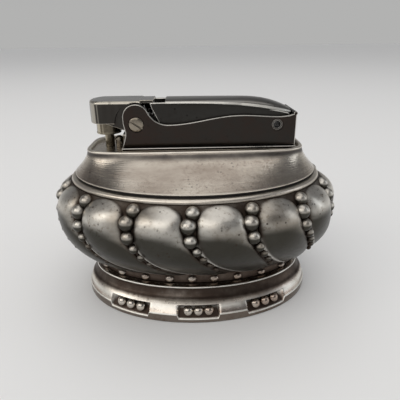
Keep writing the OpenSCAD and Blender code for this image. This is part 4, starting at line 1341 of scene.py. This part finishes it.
studio = {
    "floorTone": 0.78,
    "floorHalf": 6.0,
    "horizon": (0.445, 0.445, 0.44),
    "overhead": (0.12, 0.12, 0.125),
    "horizonBand": (0.06, 0.42),
    "diffuseLight": 0.6,
    "lampAim": (0, 0, 30),
    "lamps": [
        ("frontLamp", (-420, -760, 820), (1200, 800), 3.6, (1.0, 0.97, 0.93)),
        ("topLamp", (40, 20, 1150), (1500, 900), 3.0, (1.0, 0.98, 0.96)),
        ("sideLamp", (1000, -120, 420), (260, 700), 0.7, (0.92, 0.96, 1.0)),
        ("leftLamp", (-900, -330, 620), (420, 600), 1.3, (1.0, 0.96, 0.9)),
    ],
}


def makeFloor():
    half = studio["floorHalf"]
    tone = studio["floorTone"]
    material, tree = newMaterial("paleFloor")
    endMaterial(tree, {"Base Color": (tone, tone, tone), "Roughness": 0.75})
    corners = [(-half, -half, 0), (half, -half, 0), (half, half, 0), (-half, half, 0)]
    floor = newPiece("floor", corners, [(0, 1, 2, 3)], (), material)


def makeWorld():
    world = bpy.data.worlds.new("studioWorld")
    bpy.context.scene.world = world
    world.use_nodes = True
    tree = world.node_tree
    tree.nodes.clear()
    _, _, height = splitUp(addValue(tree, "ShaderNodeTexCoord", "Generated"))
    share = remap(height, *studio["horizonBand"])
    tone = blendColor(share, studio["horizon"], studio["overhead"])
    seen = addValue(tree, "ShaderNodeBackground", 0, {"Color": tone})
    even = {"Color": (1.0, 1.0, 1.0), "Strength": studio["diffuseLight"]}
    light = addValue(tree, "ShaderNodeBackground", 0, even)
    rays = addNode(tree, "ShaderNodeLightPath").outputs
    direct = NodeValue(tree, rays["Is Camera Ray"])
    for kind in ("Is Glossy Ray", "Is Transmission Ray"):
        direct = calc("MAXIMUM", direct, NodeValue(tree, rays[kind]))
    join = addValue(tree, "ShaderNodeMixShader", 0, {0: direct, 1: light, 2: seen})
    addNode(tree, "ShaderNodeOutputWorld", {"Surface": join})


def makeLamps():
    aim = Vector(studio["lampAim"]) * mm
    for name, place, area, power, tint in studio["lamps"]:
        data = bpy.data.lights.new(name, "AREA")
        data.shape = "RECTANGLE"
        data.size = area[0] * mm
        data.size_y = area[1] * mm
        data.energy = power
        data.color = tint
        lamp = newObject(name, data)
        lamp.location = Vector(place) * mm
        lamp.rotation_euler = (aim - lamp.location).to_track_quat("-Z", "Y").to_euler()


def makeCamera():
    view = viewPoint
    yaw, pitch, roll = map(radians, pick(view, "yaw pitch roll"))
    data = bpy.data.cameras.new("photoCamera")
    data.sensor_fit = "HORIZONTAL"
    data.sensor_width = 36.0
    data.lens = 36.0 * view["focalPixels"] / view["imagePixels"]
    data.clip_start = 0.005
    data.clip_end = 30.0
    camera = newObject("photoCamera", data)
    stand = Matrix.Translation(Vector(view["place"]) * mm)
    for angle, axis in ((-yaw, "Z"), (pi / 2 - pitch, "X"), (roll, "Z")):
        stand = stand @ Matrix.Rotation(angle, 4, axis)
    camera.matrix_world = stand
    bpy.context.scene.camera = camera


makeFloor()
makeWorld()
makeLamps()
makeCamera()
bpy.context.scene.view_settings.view_transform = "Standard"
print("studio ready")

bpy.context.view_layer.update()
